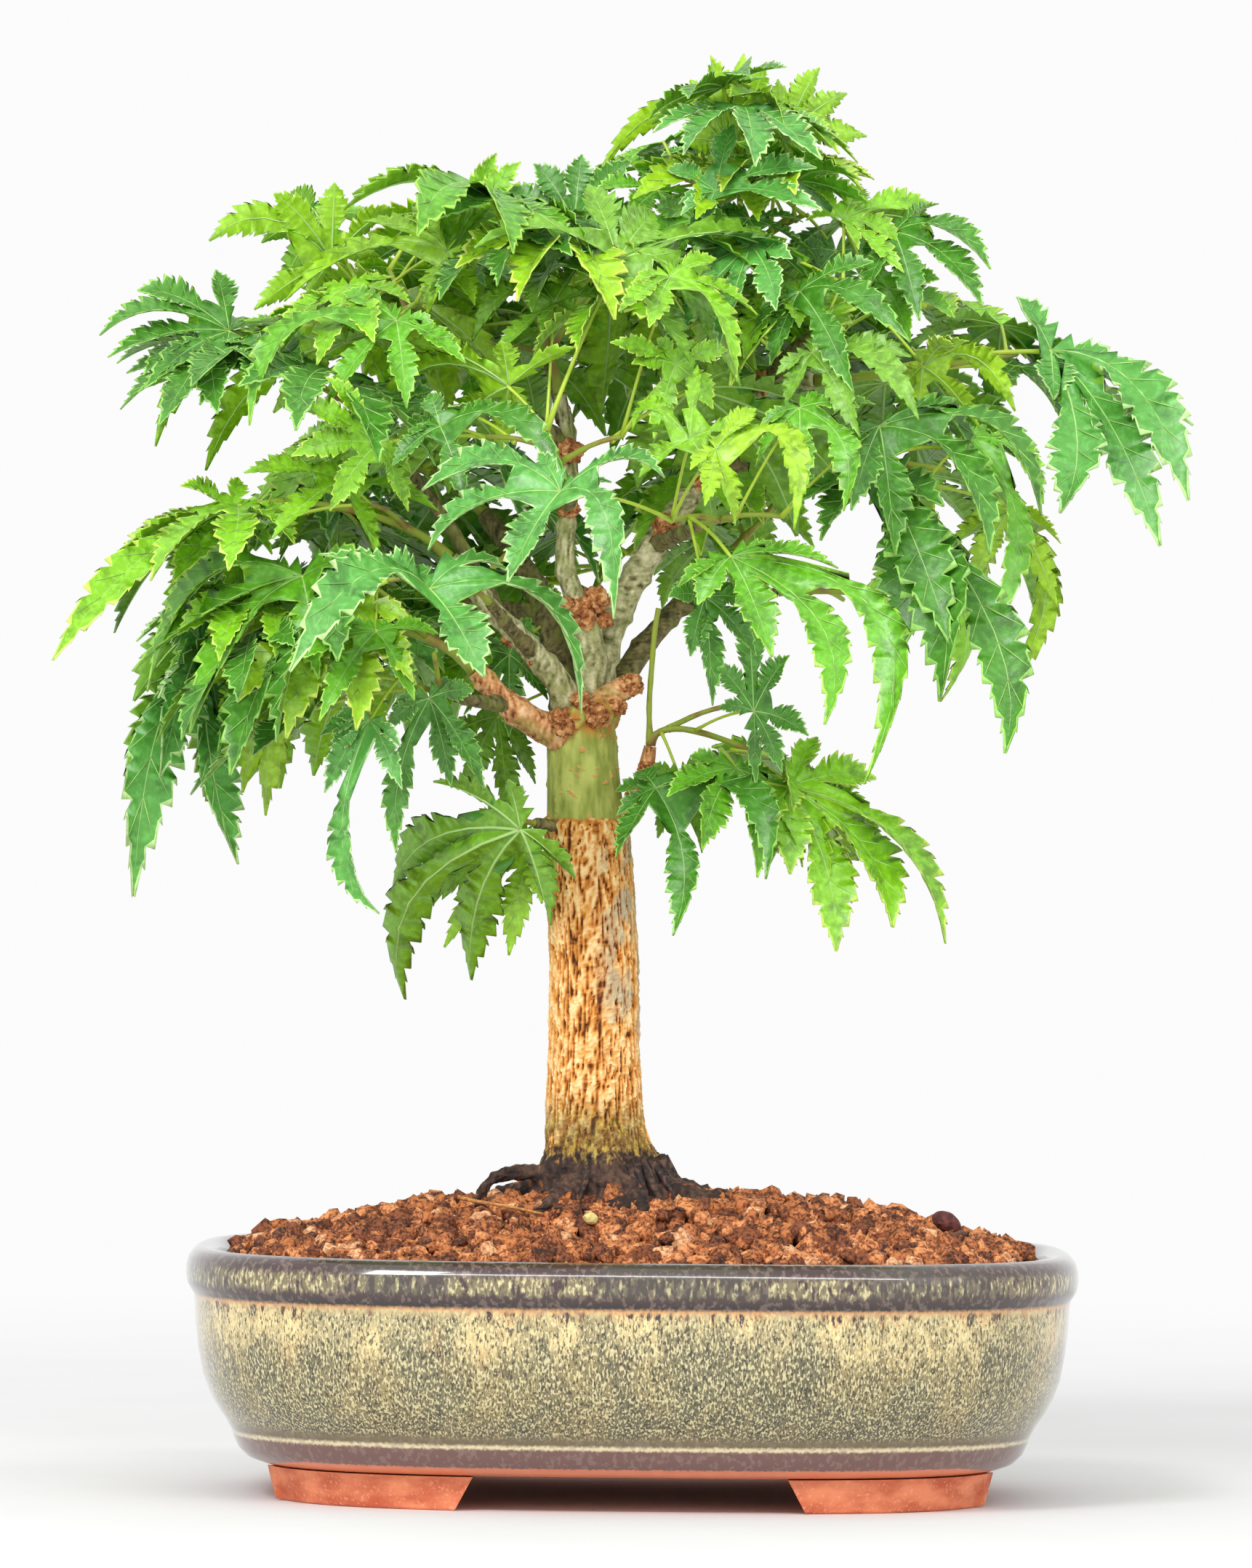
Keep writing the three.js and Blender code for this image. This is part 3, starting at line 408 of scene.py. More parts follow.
soilShape = {  # bed and top are half lengths and heights
    "bed": [(0, 15.6), (79, 15.6), (91, 26.5), (95.2, 52), (96, 56.6)],
    "top": [(96, 55), (88, 56.6), (72, 60.9), (44, 66.8), (0, 67.6)],
    "around": 96,
    "rough": 0.8,
    "roughFrom": 57,
    # the bed's colour, then the painted shade in the pits of its bump
    "tones": (paint(104, 56, 30), paint(52, 26, 14)),
}
grainShape = {
    "seed": 31,
    "shapes": 12,
    "cube": 1.5,
    "sizes": (1.4, 3.0),
    "bigger": 1.25,
    "bigFrom": 0.9,
    "spacing": 3.4,
    "scatter": 0.45,
    "half": (105, 80),
    "reach": 95.2,
    "layers": 2,
    "layerShrink": 0.25,
    "layerRise": 1.1,
    "heap": 2.4,
    "heapSize": 0.09,
    "tones": {  # colour, painted shade for the pits of its bump, and share
        "dark": (paint(146, 80, 44), paint(52, 24, 10), 0.28),
        "brown": (paint(202, 122, 68), paint(84, 38, 14), 0.42),
        "light": (paint(240, 158, 98), paint(128, 64, 28), 0.25),
        "tan": (paint(250, 196, 146), paint(176, 104, 58), 0.05),
    },
}


# Half length of the ring of the pot's plan that a point lies on
def planRing(x, y):
    corner = potShape["planCorner"]
    low, high = 0.0, 120.0
    for _ in range(24):
        middle = (low + high) / 2
        out = (abs(x) / middle) ** corner + (abs(y) / halfWidth(middle)) ** corner
        low, high = (middle, high) if out > 1 else (low, middle)
    return low


def soilHeight(x, y):
    rings, heights = zip(*reversed(soilShape["top"]))
    return float(np.interp(planRing(x, y), rings, heights))


# The second colour is painted shade: it fills the low places of the crumb noise, which is also the bump's
# height
def soilFinish(name, colour, shade, size):
    material, coords = startFinish(name)
    crumbs = coords.grain(size, detail=4)
    patch = coords.grain(size * 5, detail=2)
    mixed = (crumbs * 0.7 + patch * 0.3).step(0.38, 0.6).blend(shade, colour)
    return endFinish(material, mixed, 0.75, crumbs, bump=0.9, depth=0.6)


def makeSoil():
    bm = planSpin(soilShape["bed"] + soilShape["top"][1:], soilShape["around"])
    for vert in bm.verts:
        if vert.co.z > soilShape["roughFrom"]:
            vert.co.z += noise.noise(vert.co * 0.35) * soilShape["rough"]
    finishPiece("soil_bed", bm, soilFinish("soilBed", *soilShape["tones"], 1.5), ["soil"])


# Rough little lumps of baked earth, as the few shapes that all grains are copies of
def grainShapes():
    shapes = []
    for index in range(grainShape["shapes"]):
        bm = bmesh.new()
        bmesh.ops.create_cube(bm, size=grainShape["cube"])
        bmesh.ops.subdivide_edges(bm, edges=bm.edges[:], cuts=1, use_grid_fill=True, smooth=0.55)
        for vert in bm.verts:
            lump = noise.noise_vector(vert.co * 1.7 + Vector((index * 7.3, 0, index)))
            vert.co = vert.co.normalized() * (1 + 0.5 * noise.noise(vert.co * 2.5)) + lump * 0.7
        bmesh.ops.recalc_face_normals(bm, faces=bm.faces)
        shapes.append(bm)
    return shapes


# Grains in two layers over the mound, each turned, sized and coloured by the dice
def makeGrains():
    look, tones = grainShape, grainShape["tones"]
    shapes = grainShapes()
    roll = Dice(look["seed"]).roll
    heaps = {name: [] for name in tones}
    shares = np.cumsum([share for _, _, share in tones.values()])
    spacing, scatter = look["spacing"], look["scatter"]
    columns, rows = (int(half / spacing) for half in look["half"])
    spots = [(layer, i, j) for layer in range(look["layers"])
             for i in range(-columns, columns + 1) for j in range(-rows, rows + 1)]
    for layer, i, j in spots:
        x = (i + roll(-scatter, scatter) + layer * 0.5) * spacing
        y = (j + roll(-scatter, scatter) + layer * 0.5) * spacing
        size = roll(*look["sizes"]) * (1 - look["layerShrink"] * layer)
        size *= look["bigger"] if roll(0, 1) > look["bigFrom"] else 1
        pick, turn = roll(0, shares[-1]), [roll(0, 6.28) for _ in range(3)]
        shape = int(roll(0, look["shapes"] - 0.01))
        nearTrunk = math.hypot(x - flareShape["middle"], y) < flareShape["radius"]
        if planRing(x, y) > look["reach"] - size or nearTrunk:
            continue
        heap = look["heap"] * noise.noise(Vector((x * look["heapSize"], y * look["heapSize"], 5)))
        z = soilHeight(x, y) + heap + size * roll(0.1, 0.6) + layer * look["layerRise"]
        spot = Matrix.Translation((x, y, z)) @ Matrix.Rotation(turn[0], 4, "X")
        spot = spot @ Matrix.Rotation(turn[1], 4, "Y") @ Matrix.Rotation(turn[2], 4, "Z")
        tone = list(tones)[int(np.searchsorted(shares, pick))]
        stretch = [size * roll(0.8, 1.25), size * roll(0.8, 1.1), size * roll(0.75, 1), 1]
        heaps[tone].append((shape, np.array(spot @ Matrix.Diagonal(stretch))))
    parts = [meshParts(shape) for shape in shapes]
    for name, heap in heaps.items():
        colour, shade, _ = tones[name]
        finish = soilFinish("soilGrain_" + name, colour, shade, 0.9)
        copies = [(parts[shape], turned(parts[shape]["co"], spot)) for shape, spot in heap]
        dressPiece("soil_grains_" + name, joinedMesh("soilGrains", copies), finish, ["soil"])
    print("soil grains", {name: len(heap) for name, heap in heaps.items()})


litterShape = {
    # each pair of tones is a colour, then the painted shade in the pits of the bump
    "pebbles": {
        "red": {"at": (74, -6, 65.4), "radii": (3.6, 2.6, 2.4), "turn": 0.5,
                "tones": (paint(112, 54, 48), paint(70, 32, 32))},
        "yellow": {"at": (-9.8, -44, 67.2), "radii": (1.7, 1.5, 1.4), "turn": 0.2,
                   "tones": (paint(230, 214, 140), paint(190, 170, 96))},
    },
    "dent": 0.25,
    "straw": [(-41, -30, 71.2), (-36, -31, 70.2), (-29, -32, 69.2), (-21, -33, 67.6)],
    "strawRadii": (0.5, 0.3),
    "strawSteps": 14,
    "strawTones": (paint(206, 150, 84), paint(170, 110, 56)),
}


# Two pebbles and a straw that lie on the soil
def makeLitter():
    for name, pebble in litterShape["pebbles"].items():
        bm = bmesh.new()
        place = Matrix.Translation(pebble["at"]) @ Matrix.Rotation(pebble["turn"], 4, "Y")
        place = place @ Matrix.Diagonal((*pebble["radii"], 1))
        verts = bmesh.ops.create_icosphere(bm, subdivisions=4, radius=1, matrix=place)["verts"]
        for vert in verts:
            vert.co += noise.noise_vector(vert.co * 0.5) * litterShape["dent"]
        finish = soilFinish("pebble_" + name, *pebble["tones"], 1.2)
        finishPiece("pebble_" + name, bm, finish, ["soil"])
    bm = bmesh.new()
    steps = litterShape["strawSteps"]
    addTube(bm, Way(litterShape["straw"]).spaced(steps), np.linspace(*litterShape["strawRadii"], steps), 6)
    finishPiece("straw", bm, soilFinish("strawSkin", *litterShape["strawTones"], 1), ["soil"])


# Joined copies: a shape's parts as arrays, and a mesh of many shapes moved to their places

def meshParts(bm):
    bm.verts.index_update()
    faces = [[vert.index for vert in face.verts] for face in bm.faces]
    return {
        "co": np.array([vert.co[:] for vert in bm.verts]),
        "corners": np.array([index for face in faces for index in face]),
        "counts": np.array([len(face) for face in faces]),
        "slots": np.array([face.material_index for face in bm.faces]),
    }


def turned(co, matrix):
    return co @ matrix[:3, :3].T + matrix[:3, 3]


def joinedMesh(name, copies):
    starts = np.cumsum([0] + [len(co) for _, co in copies])
    corners = np.concatenate([part["corners"] + start for (part, _), start in zip(copies, starts)])
    counts = np.concatenate([part["counts"] for part, _ in copies])
    slots = np.concatenate([part["slots"] for part, _ in copies])
    mesh = bpy.data.meshes.new(name)
    mesh.vertices.add(int(starts[-1]))
    mesh.vertices.foreach_set("co", (np.concatenate([co for _, co in copies]) / metre).ravel())
    mesh.loops.add(len(corners))
    mesh.loops.foreach_set("vertex_index", corners)
    mesh.polygons.add(len(counts))
    mesh.polygons.foreach_set("loop_start", np.concatenate([[0], np.cumsum(counts)[:-1]]))
    mesh.polygons.foreach_set("material_index", slots)
    mesh.update(calc_edges=True)
    mesh.validate()
    return mesh


# Limbs: the same ways as in the frame's own source

trunkShape = {
    "sections": [  # middle across, height and radius
        (-3.8, 68.3, 23), (-5.6, 72, 18.5), (-7.6, 77, 15), (-8.3, 82, 12.7), (-8.8, 87.5, 11.6),
        (-9.1, 104, 10.7), (-9.3, 126, 10.4), (-10.6, 143, 10.3), (-12, 158.5, 10.05),
        (-12.8, 170, 9.3), (-13.4, 180.5, 8.9), (-13.6, 185, 7.4)],
    "slimmer": 0.5,  # less than the solid's radius, so that the bark's relief stays near it
    "slimFrom": (78, 86),
    "slimTo": (120, 165),
    "graft": 159.5,
    "ground": 68,
    "flareTop": 92,
    "ridges": 5,
    "ridgeDepth": 0.16,
    "sides": 48,
    "rootSides": 10,
    "rootSteps": 14,
    "voxel": 0.5,
}
flareShape = {"middle": -5, "radius": 12}  # where the trunk stands in the soil

limbs = {
    "bough_leader": {"foot": 3.9, "tip": 1.9, "look": "grey", "knee": (28, 0.78), "way": [
        (-13, 0, 181), (-11.2, -0.5, 192), (-12.2, -1, 205), (-17.4, -1, 218), (-17.2, 0, 233),
        (-16.8, 1, 247), (-19.3, 0, 260)]},
    "bough_low_left": {"foot": 3.9, "tip": 2.4, "look": "peeled", "way": [
        (-14, -2, 179), (-22.7, -5, 181.5), (-30.6, -8, 186.5), (-38.4, -10, 194.5)]},
    "bough_high_left": {"foot": 3.3, "tip": 2.0, "look": "grey", "way": [
        (-15.5, -1.5, 182), (-18.5, -4, 191), (-25, -7, 199), (-33, -10, 207), (-44.7, -12, 220.5)]},
    "bough_back_left": {"foot": 3.8, "tip": 2.1, "look": "dark", "way": [
        (-15.5, 3, 182), (-19, 9, 195), (-22, 15, 208), (-28.4, 24, 220.6), (-37, 33, 232)]},
    "bough_right": {"foot": 4.1, "tip": 2.0, "look": "grey", "way": [
        (-11, 3, 182), (-7.5, 8, 203), (3.6, 11, 225), (15, 10, 241.7), (21.5, 8, 256), (29.5, 6, 263.5),
        (40.8, 4, 264)]},
    "bough_back_right": {"foot": 3.2, "tip": 1.9, "look": "dark", "way": [
        (-10.5, 5, 179), (-2, 16, 196), (9, 26, 210), (20, 35, 222)]},
    "bough_back": {"foot": 3.1, "tip": 1.9, "look": "dark", "way": [
        (-14, 6, 178), (-17, 18, 189), (-17, 29, 200), (-13, 38, 209)]},
    "stub_right": {"foot": 3.0, "tip": 2.6, "look": "peeled", "way": [
        (-10.5, -3, 183), (-6, -4, 189), (-1.6, -4.6, 191.6)]},
    "branch_low_right": {"foot": 2.6, "tip": 1.5, "look": "peeled", "way": [
        (-5, -1, 157), (-0.4, -2, 164), (1.6, -3, 170), (2.9, -3, 177)]},
    "spur_left": {"foot": 1.7, "tip": 1.2, "look": "dark", "way": [
        (-14, -2, 157.6), (-20, -6, 158), (-24, -9, 158.6)]},
    "branch_crest": {"foot": 2.0, "tip": 1.4, "look": "dark", "way": [
        (21.5, 8, 256), (21, 6, 268), (22.5, 5, 281)]},
    "branch_upper_right": {"foot": 1.8, "tip": 1.2, "look": "dark", "way": [
        (29.5, 6, 263.5), (36, 0, 271), (44, -5, 277)]},
    "branch_right": {"foot": 2.2, "tip": 1.4, "look": "dark", "way": [
        (15, 10, 241.7), (27, 8, 245), (39, 7, 246)]},
    "branch_right_front": {"foot": 2.0, "tip": 1.3, "look": "dark", "way": [
        (3.6, 11, 225), (9, 0, 227), (14, -14, 229)]},
    "branch_right_top": {"foot": 1.8, "tip": 1.2, "look": "dark", "way": [
        (21.5, 8, 256), (27, 19, 262), (32, 29, 266)]},
    "branch_upper_left": {"foot": 1.8, "tip": 1.2, "look": "dark", "way": [
        (-16.8, 1, 247), (-29, -3, 257), (-41, -6, 268)]},
    "branch_far_left": {"foot": 1.9, "tip": 1.3, "look": "dark", "way": [
        (-33, -10, 207), (-46, -4, 230), (-64, -2, 252)]},
    "branch_front": {"foot": 1.7, "tip": 1.2, "look": "dark", "way": [
        (-17.2, 0, 233), (-17, -11, 236), (-18, -22, 240)]},
    "branch_front_left": {"foot": 1.8, "tip": 1.2, "look": "dark", "way": [
        (-25, -7, 199), (-30, -18, 204), (-35, -27, 210)]},
    "branch_inner_left": {"foot": 1.8, "tip": 1.2, "look": "dark", "way": [
        (-30.6, -8, 186.5), (-37, -16, 187), (-43, -24, 188)]},
    "branch_back_low": {"foot": 2.0, "tip": 1.3, "look": "dark", "way": [
        (-22, 15, 208), (-36, 23, 210), (-48, 30, 211)]},
    "branch_back_top": {"foot": 1.8, "tip": 1.2, "look": "dark", "way": [
        (-18.1, 0.5, 254), (-20, 12, 261), (-22, 24, 267)]},
    "branch_back_right": {"foot": 1.8, "tip": 1.2, "look": "dark", "way": [
        (9, 26, 210), (21, 25, 213), (33, 23, 214)]},
}


# A curve through points, its knots spaced by the roots of the distances
class Way:
    def __init__(self, points):
        self.points = [np.array(point, float) for point in points]
        stations = np.linspace(0, 1, 201)
        places = np.array([self.at(t) for t in stations])
        self.lengths = np.concatenate([[0], np.cumsum(np.linalg.norm(np.diff(places, axis=0), axis=1))])
        self.stations = stations

    def at(self, t):
        last = len(self.points) - 1
        index = min(int(t * last), last - 1)
        weight = t * last - index
        p1, p2 = self.points[index], self.points[index + 1]
        p0 = self.points[index - 1] if index > 0 else 2 * p1 - p2
        p3 = self.points[index + 2] if index + 2 <= last else 2 * p2 - p1
        d0, d1, d2 = (math.sqrt(np.linalg.norm(b - a)) for a, b in ((p0, p1), (p1, p2), (p2, p3)))
        t1 = ((p1 - p0) / d0 - (p2 - p0) / (d0 + d1) + (p2 - p1) / d1) * d1
        t2 = ((p2 - p1) / d1 - (p3 - p1) / (d1 + d2) + (p3 - p2) / d2) * d1
        c2, c3 = -3 * p1 + 3 * p2 - 2 * t1 - t2, 2 * p1 - 2 * p2 + t1 + t2
        return p1 + t1 * weight + c2 * weight ** 2 + c3 * weight ** 3

    def spaced(self, count):
        along = np.interp(np.linspace(0, self.lengths[-1], count), self.lengths, self.stations)
        return [self.at(t) for t in along]

    def endWay(self):
        return unit(self.at(1) - self.at(0.9999))


barkLook = {
    "crumb": paint(176, 88, 48),
    "cork": paint(198, 122, 42),
    "corkBright": paint(230, 164, 80),
    "corkPale": paint(255, 222, 160),
    "corkCrack": paint(88, 42, 10),
    "green": paint(136, 148, 58),
    "greenPale": paint(192, 198, 104),
    "lenticel": paint(214, 160, 92),
    "callus": paint(186, 116, 62),
    "callusDark": paint(92, 46, 22),
    "callusPale": paint(238, 186, 130),
    "lichen": paint(178, 178, 156),
    "moss": paint(164, 156, 62),
    "mossDark": paint(70, 58, 24),
    "root": paint(36, 24, 22),
    "rootPale": paint(104, 74, 58),
}


def trunkFinish():
    material, coords = startFinish("barkTrunk")
    height = coords.axis("Z")
    relief = coords.node("Attribute", {"attribute_name": "relief"}, output="Fac")
    fleck = coords.grain(1.2, (1, 1, 0.5), 3)
    cloud = coords.grain(9, (1, 1, 0.7), 2)
    cork = (relief + (fleck - 0.5) * 0.55).ramp([
        (0.1, barkLook["corkCrack"]), (0.34, barkLook["cork"]), (0.56, barkLook["corkBright"]),
        (0.84, barkLook["corkPale"])])
    grey = coords.axis("X").step(-12, -3) * height.step(96, 120) * cloud.step(0.44, 0.56)
    cork = (grey * 0.75 * relief.step(0.2, 0.5)).blend(cork, barkLook["lichen"])
    skin = coords.grain(2.2, (1, 1, 0.3), 3)
    green = (skin * 0.6 + cloud * 0.4).step(0.36, 0.62).blend(barkLook["green"], barkLook["greenPale"])
    green = relief.step(0.62, 0.8).blend(green, barkLook["lenticel"])
    line = height + (cloud - 0.5) * 2.5
    bark = line.step(trunkShape["graft"] - 0.5, trunkShape["graft"] + 0.4).blend(cork, green)
    callus = line.step(177, 181) * fleck.step(0.35, 0.6)
    bark = (callus * 0.8).blend(bark, barkLook["cork"])
    mossy = (1 - line.step(84, 98)) * cloud.step(0.3, 0.5)
    bark = (mossy * 0.75).blend(bark, fleck.step(0.42, 0.66).blend(barkLook["mossDark"], barkLook["moss"]))
    root = (fleck * 0.5 + cloud * 0.5).step(0.4, 0.7).blend(barkLook["root"], barkLook["rootPale"])
    crumbs = coords.grain(3.4, detail=1).step(0.62, 0.66) * (1 - height.step(72, 75))
    root = crumbs.blend(root, fleck.step(0.4, 0.6).blend(barkLook["crumb"], barkLook["cork"]))
    bark = (1 - (line + (fleck - 0.5) * 12).step(79, 83)).blend(bark, root)
    return endFinish(material, bark, 0.82, fleck, bump=0.4, depth=0.3)


surfaceRoots = [
    {"foot": 2.6, "tip": 1.2, "way": [
        (-17, -6, 75.5), (-25, -9, 76.2), (-32, -10, 75.4), (-36, -10, 71), (-39, -9, 66.5)]},
    {"foot": 4.6, "tip": 1.5, "way": [
        (2, -6, 73), (11, -10, 70.8), (20, -13, 69.4), (30, -15, 68), (37, -17, 65.5)]},
    {"foot": 4.4, "tip": 1.5, "way": [(-4, 8, 74), (-3, 18, 70.8), (0, 26, 69), (2, 33, 66)]},
    {"foot": 4.8, "tip": 1.9, "way": [(-12, -9, 74), (-16, -16, 71.2), (-19, -23, 69), (-23, -29, 65.5)]},
    {"foot": 4.4, "tip": 1.7, "way": [(-3, -9, 74.5), (0, -17, 71.2), (2, -24, 68.6), (2, -31, 65)]},
    {"foot": 4.2, "tip": 1.4, "way": [(4, 3, 73.5), (14, 6, 70.8), (24, 6, 69), (33, 9, 66)]},
    {"foot": 4.2, "tip": 1.4, "way": [(-16, 4, 74), (-26, 9, 71), (-33, 13, 69), (-38, 17, 66)]},
    {"foot": 3.4, "tip": 1.3, "way": [(-16, -3, 73), (-24, -4, 71), (-31, -3, 68.8), (-37, -1, 66)]},
    {"foot": 3.6, "tip": 1.2, "way": [(3, -2, 74), (9, -3, 71.6), (17, -5, 69.6), (26, -6, 66.5)]},
]
callusKnobs = [  # x, y, z, size
    (-19.5, -4.5, 181.5, 3.4), (-14.5, -7, 183.5, 3.2), (-8.5, -6, 185, 3.4), (-5.8, -1, 186, 3.0),
    (-7, 5, 183.5, 3.2), (-13, 8, 182.5, 3.4), (-19.5, 5, 182, 3.2), (-13.5, 0, 186.5, 5.2),
    (-21.5, 0, 180.5, 2.6), (-4.5, -1, 160.5, 3.2),
]


# Swells the trunk's rings near the ground
def flareRidges(turn, z):
    low = max(0, (trunkShape["flareTop"] - z) / (trunkShape["flareTop"] - trunkShape["ground"]))
    return 1 + trunkShape["ridgeDepth"] * low * math.cos(trunkShape["ridges"] * turn + 0.6)


# Trunk, surface roots and callus knobs, fused and then carved
def makeTrunk():
    centres, heights, radii = zip(*trunkShape["sections"])
    points, sizes = [], []
    for z in np.arange(heights[0], heights[-1], 1):
        slim = trunkShape["slimmer"] * smooth(z, *trunkShape["slimFrom"])
        sizes.append(float(np.interp(z, heights, radii)) - slim)
        moved = slim * (1 - smooth(z, *trunkShape["slimTo"]))
        points.append(np.array([float(np.interp(z, heights, centres)) - moved, 0, z]))

    def flare(turn, share):
        return flareRidges(turn, points[round(share * (len(points) - 1))][2])

    bm = bmesh.new()
    addTube(bm, points, sizes, trunkShape["sides"], flare, level=True)
    steps = trunkShape["rootSteps"]
    for root in surfaceRoots:
        thick = np.linspace(root["foot"], root["tip"], steps)
        addTube(bm, Way(root["way"]).spaced(steps), thick, trunkShape["rootSides"])
    for x, y, z, size in callusKnobs:
        place = Matrix.Translation((x, y, z))
        bmesh.ops.create_icosphere(bm, subdivisions=2, radius=size, matrix=place)
    piece = finishPiece("trunk_bark", bm, trunkFinish(), ["trunk"])
    remesh = piece.modifiers.new("fuse", "REMESH")
    remesh.mode = "VOXEL"
    remesh.voxel_size = trunkShape["voxel"] / metre
    applyModifiers(piece)
    carveTrunk(piece.data)


rootletShape = {
    "seed": 77,
    "count": 46,
    "turn": 39.15,  # degrees from one to the next
    "reach": (23, 40),
    "foot": (0.8, 1.5),
    "tip": 0.35,
    "steps": 9,
}


# Fine dark roots that spread from the flare over the soil
def makeRootlets():
    roll = Dice(rootletShape["seed"]).roll
    middle, inner, steps = flareShape["middle"], flareShape["radius"], rootletShape["steps"]
    bm = bmesh.new()
    for number in range(rootletShape["count"]):
        turn = math.radians(number * rootletShape["turn"] + roll(-9, 9))
        reach, bent = roll(*rootletShape["reach"]), math.radians(roll(-26, 26))
        line = []
        for share in np.linspace(0, 1, steps):
            out = inner + (reach - inner) * share
            x = middle + out * math.cos(turn + bent * share)
            y = out * math.sin(turn + bent * share)
            low = soilHeight(x, y) + 1.4 - 2.2 * share ** 3
            high = 80 - 11 * min(1, share * 2.6)
            line.append(np.array([x, y, max(low, high) + roll(-0.4, 0.4)]))
        addTube(bm, line, np.linspace(roll(*rootletShape["foot"]), rootletShape["tip"], steps), 6)
    material, coords = startFinish("rootletBark")
    fleck = coords.grain(1.4, detail=3)
    colour = fleck.step(0.4, 0.7).blend(barkLook["root"], barkLook["rootPale"])
    endFinish(material, colour, 0.7, fleck, bump=0.4)
    finishPiece("surface_rootlets", bm, material, ["trunk"])


# Crusty lumps where limbs were cut or scars have closed, each on the limb that it grew from
calluses = [  # x, y, z, size
    (-12.9, -2.4, 207.5, 3.3), (-10.4, -2.0, 211.5, 3.1), (-15.6, -1.2, 210.4, 2.6), (-8.6, -0.8, 206.8, 2.2),
    (-23.2, -5.2, 181.2, 2.9), (-27.5, -6.6, 184.2, 2.2), (-17.8, -7.6, 182.6, 3.0), (-9.6, -7.9, 184.4, 2.8),
    (-5.0, -5.4, 186.6, 2.4), (-1.8, -5.0, 191.4, 2.7), (-29.6, -8.4, 202.6, 2.5), (-24.8, -6.4, 197.4, 2.2),
    (-31.2, -8.4, 187.6, 2.3), (-34.6, -9.4, 190.4, 2.0), (-16.9, -1.6, 233.2, 2.4),
    (-16.6, -1.4, 246.6, 2.8), (-0.2, -2.6, 165.6, 2.3), (2.4, -3.4, 171.8, 2.2), (6.0, 7.6, 229.0, 3.0),
    (14.6, 7.6, 240.6, 2.8), (21.0, 6.0, 256.0, 2.8), (28.4, 4.2, 263.4, 2.6), (-13.6, -7.8, 187.4, 2.2),
]


def makeCalluses():
    bm = bmesh.new()
    for index, (x, y, z, size) in enumerate(calluses):
        verts = bmesh.ops.create_icosphere(bm, subdivisions=4, radius=size)["verts"]
        seed = Vector((index * 5.1, 0, 0))
        for vert in verts:
            way = vert.co.normalized()
            lump = noise.noise(way * 1.6 + seed) * 0.4 + noise.noise(way * 4 + seed) * 0.3
            pit = noise.noise(way * 8 + seed) * 0.16
            vert.co = way * size * (1 + lump + pit) + Vector((x, y, z))
    material, coords = startFinish("callusCrust")
    crust = coords.grain(1.6, detail=4)
    flake = coords.grain(0.6, detail=2)
    colour = (crust * 0.7 + flake * 0.3).ramp([
        (0.36, barkLook["callusDark"]), (0.5, barkLook["callus"]), (0.64, barkLook["callusPale"])])
    endFinish(material, colour, 0.88, crust, bump=0.6, depth=0.5)
    finishPiece("bark_calluses", bm, material, ["trunk", "bough_leader", "stub_right"])


# Bark in the mesh: cork plates and cracks below the graft line, smooth skin with lenticels above
def carveTrunk(mesh):
    count = len(mesh.vertices)
    relief = np.zeros(count)
    moved = np.zeros((count, 3))
    centres, heights, _ = zip(*trunkShape["sections"])
    graft = trunkShape["graft"]
    for index, vert in enumerate(mesh.vertices):
        place, normal = vert.co * metre, vert.normal
        turn = math.atan2(place.y, place.x - float(np.interp(place.z, heights, centres)))
        ring = Vector((math.cos(turn) * 9, math.sin(turn) * 9, 0))
        crack = abs(noise.noise(ring * 1.5 + Vector((0, 0, place.z * 0.11))))
        plate = noise.noise(ring * 0.8 + Vector((3, 0, place.z * 0.3)))
        grit = noise.noise(place * 1.4)
        ragged = place.z + noise.noise(ring * 0.5) * 1.6
        cork = smooth(ragged, 76, 88) * (1 - smooth(ragged, graft - 0.6, graft + 0.3))
        rough = 0.12 + 0.58 * smooth(crack, 0.0, 0.19) + plate * 0.25 + grit * 0.3
        speck = noise.noise(Vector((ring.x * 0.5, ring.y * 0.5, place.z * 0.9)) + Vector((0, 0, 40)))
        skin = 0.35 + max(0, speck - 0.38) * 3 + grit * 0.1
        lumps = noise.noise(place * 0.22) * 0.9 + noise.noise(place * 0.6) * 0.9
        lumps *= 1 - smooth(place.z, 80, 90)
        lumps += noise.noise(place * 0.3) * 0.5 * smooth(place.z, 172, 182)
        push = cork * (rough * 1.1 - 0.1) + (1 - cork) * (skin * 0.35 + lumps * 0.9 - 0.35)
        relief[index] = cork * rough + (1 - cork) * skin
        moved[index] = place + normal * push
    mesh.vertices.foreach_set("co", (moved / metre).ravel())
    setRelief(mesh, np.clip(relief, 0, 1))
    mesh.update()


def setRelief(mesh, values):  # the attribute that the bark's colours follow
    mesh.attributes.new("relief", "FLOAT", "POINT").data.foreach_set("value", values)


boughTones = {  # skin, its pale ridges and its cracks
    "grey": (paint(160, 158, 108), paint(226, 216, 176), paint(82, 74, 40)),
    "peeled": (paint(214, 144, 88), paint(250, 208, 160), paint(104, 56, 30)),
    "dark": (paint(106, 98, 58), paint(152, 138, 88), paint(56, 44, 26)),
}


def boughFinish(name, base, pale, crack):
    material, coords = startFinish(name)
    relief = coords.node("Attribute", {"attribute_name": "relief"}, output="Fac")
    fleck = coords.grain(0.8, detail=3)
    patch = coords.grain(6, detail=2)
    colour = (relief + (fleck - 0.5) * 0.6).ramp([(0.15, crack), (0.45, base), (0.85, pale)])
    mossy = patch.step(0.5, 0.65) * 0.45
    return endFinish(material, mossy.blend(colour, barkLook["green"]), 0.8, fleck, bump=0.4, depth=0.25)


limbShape = {
    "step": 0.7,
    "sides": 22,
    "collar": 1.3,
    "collarReach": 5,
    "ring": 0.5,
    "ringSpacing": 11,
    "ringWidth": 1.1,
    "crack": 0.12,
    "lump": 0.14,
    "streaks": (1.5, 1.5, 0.3),
}


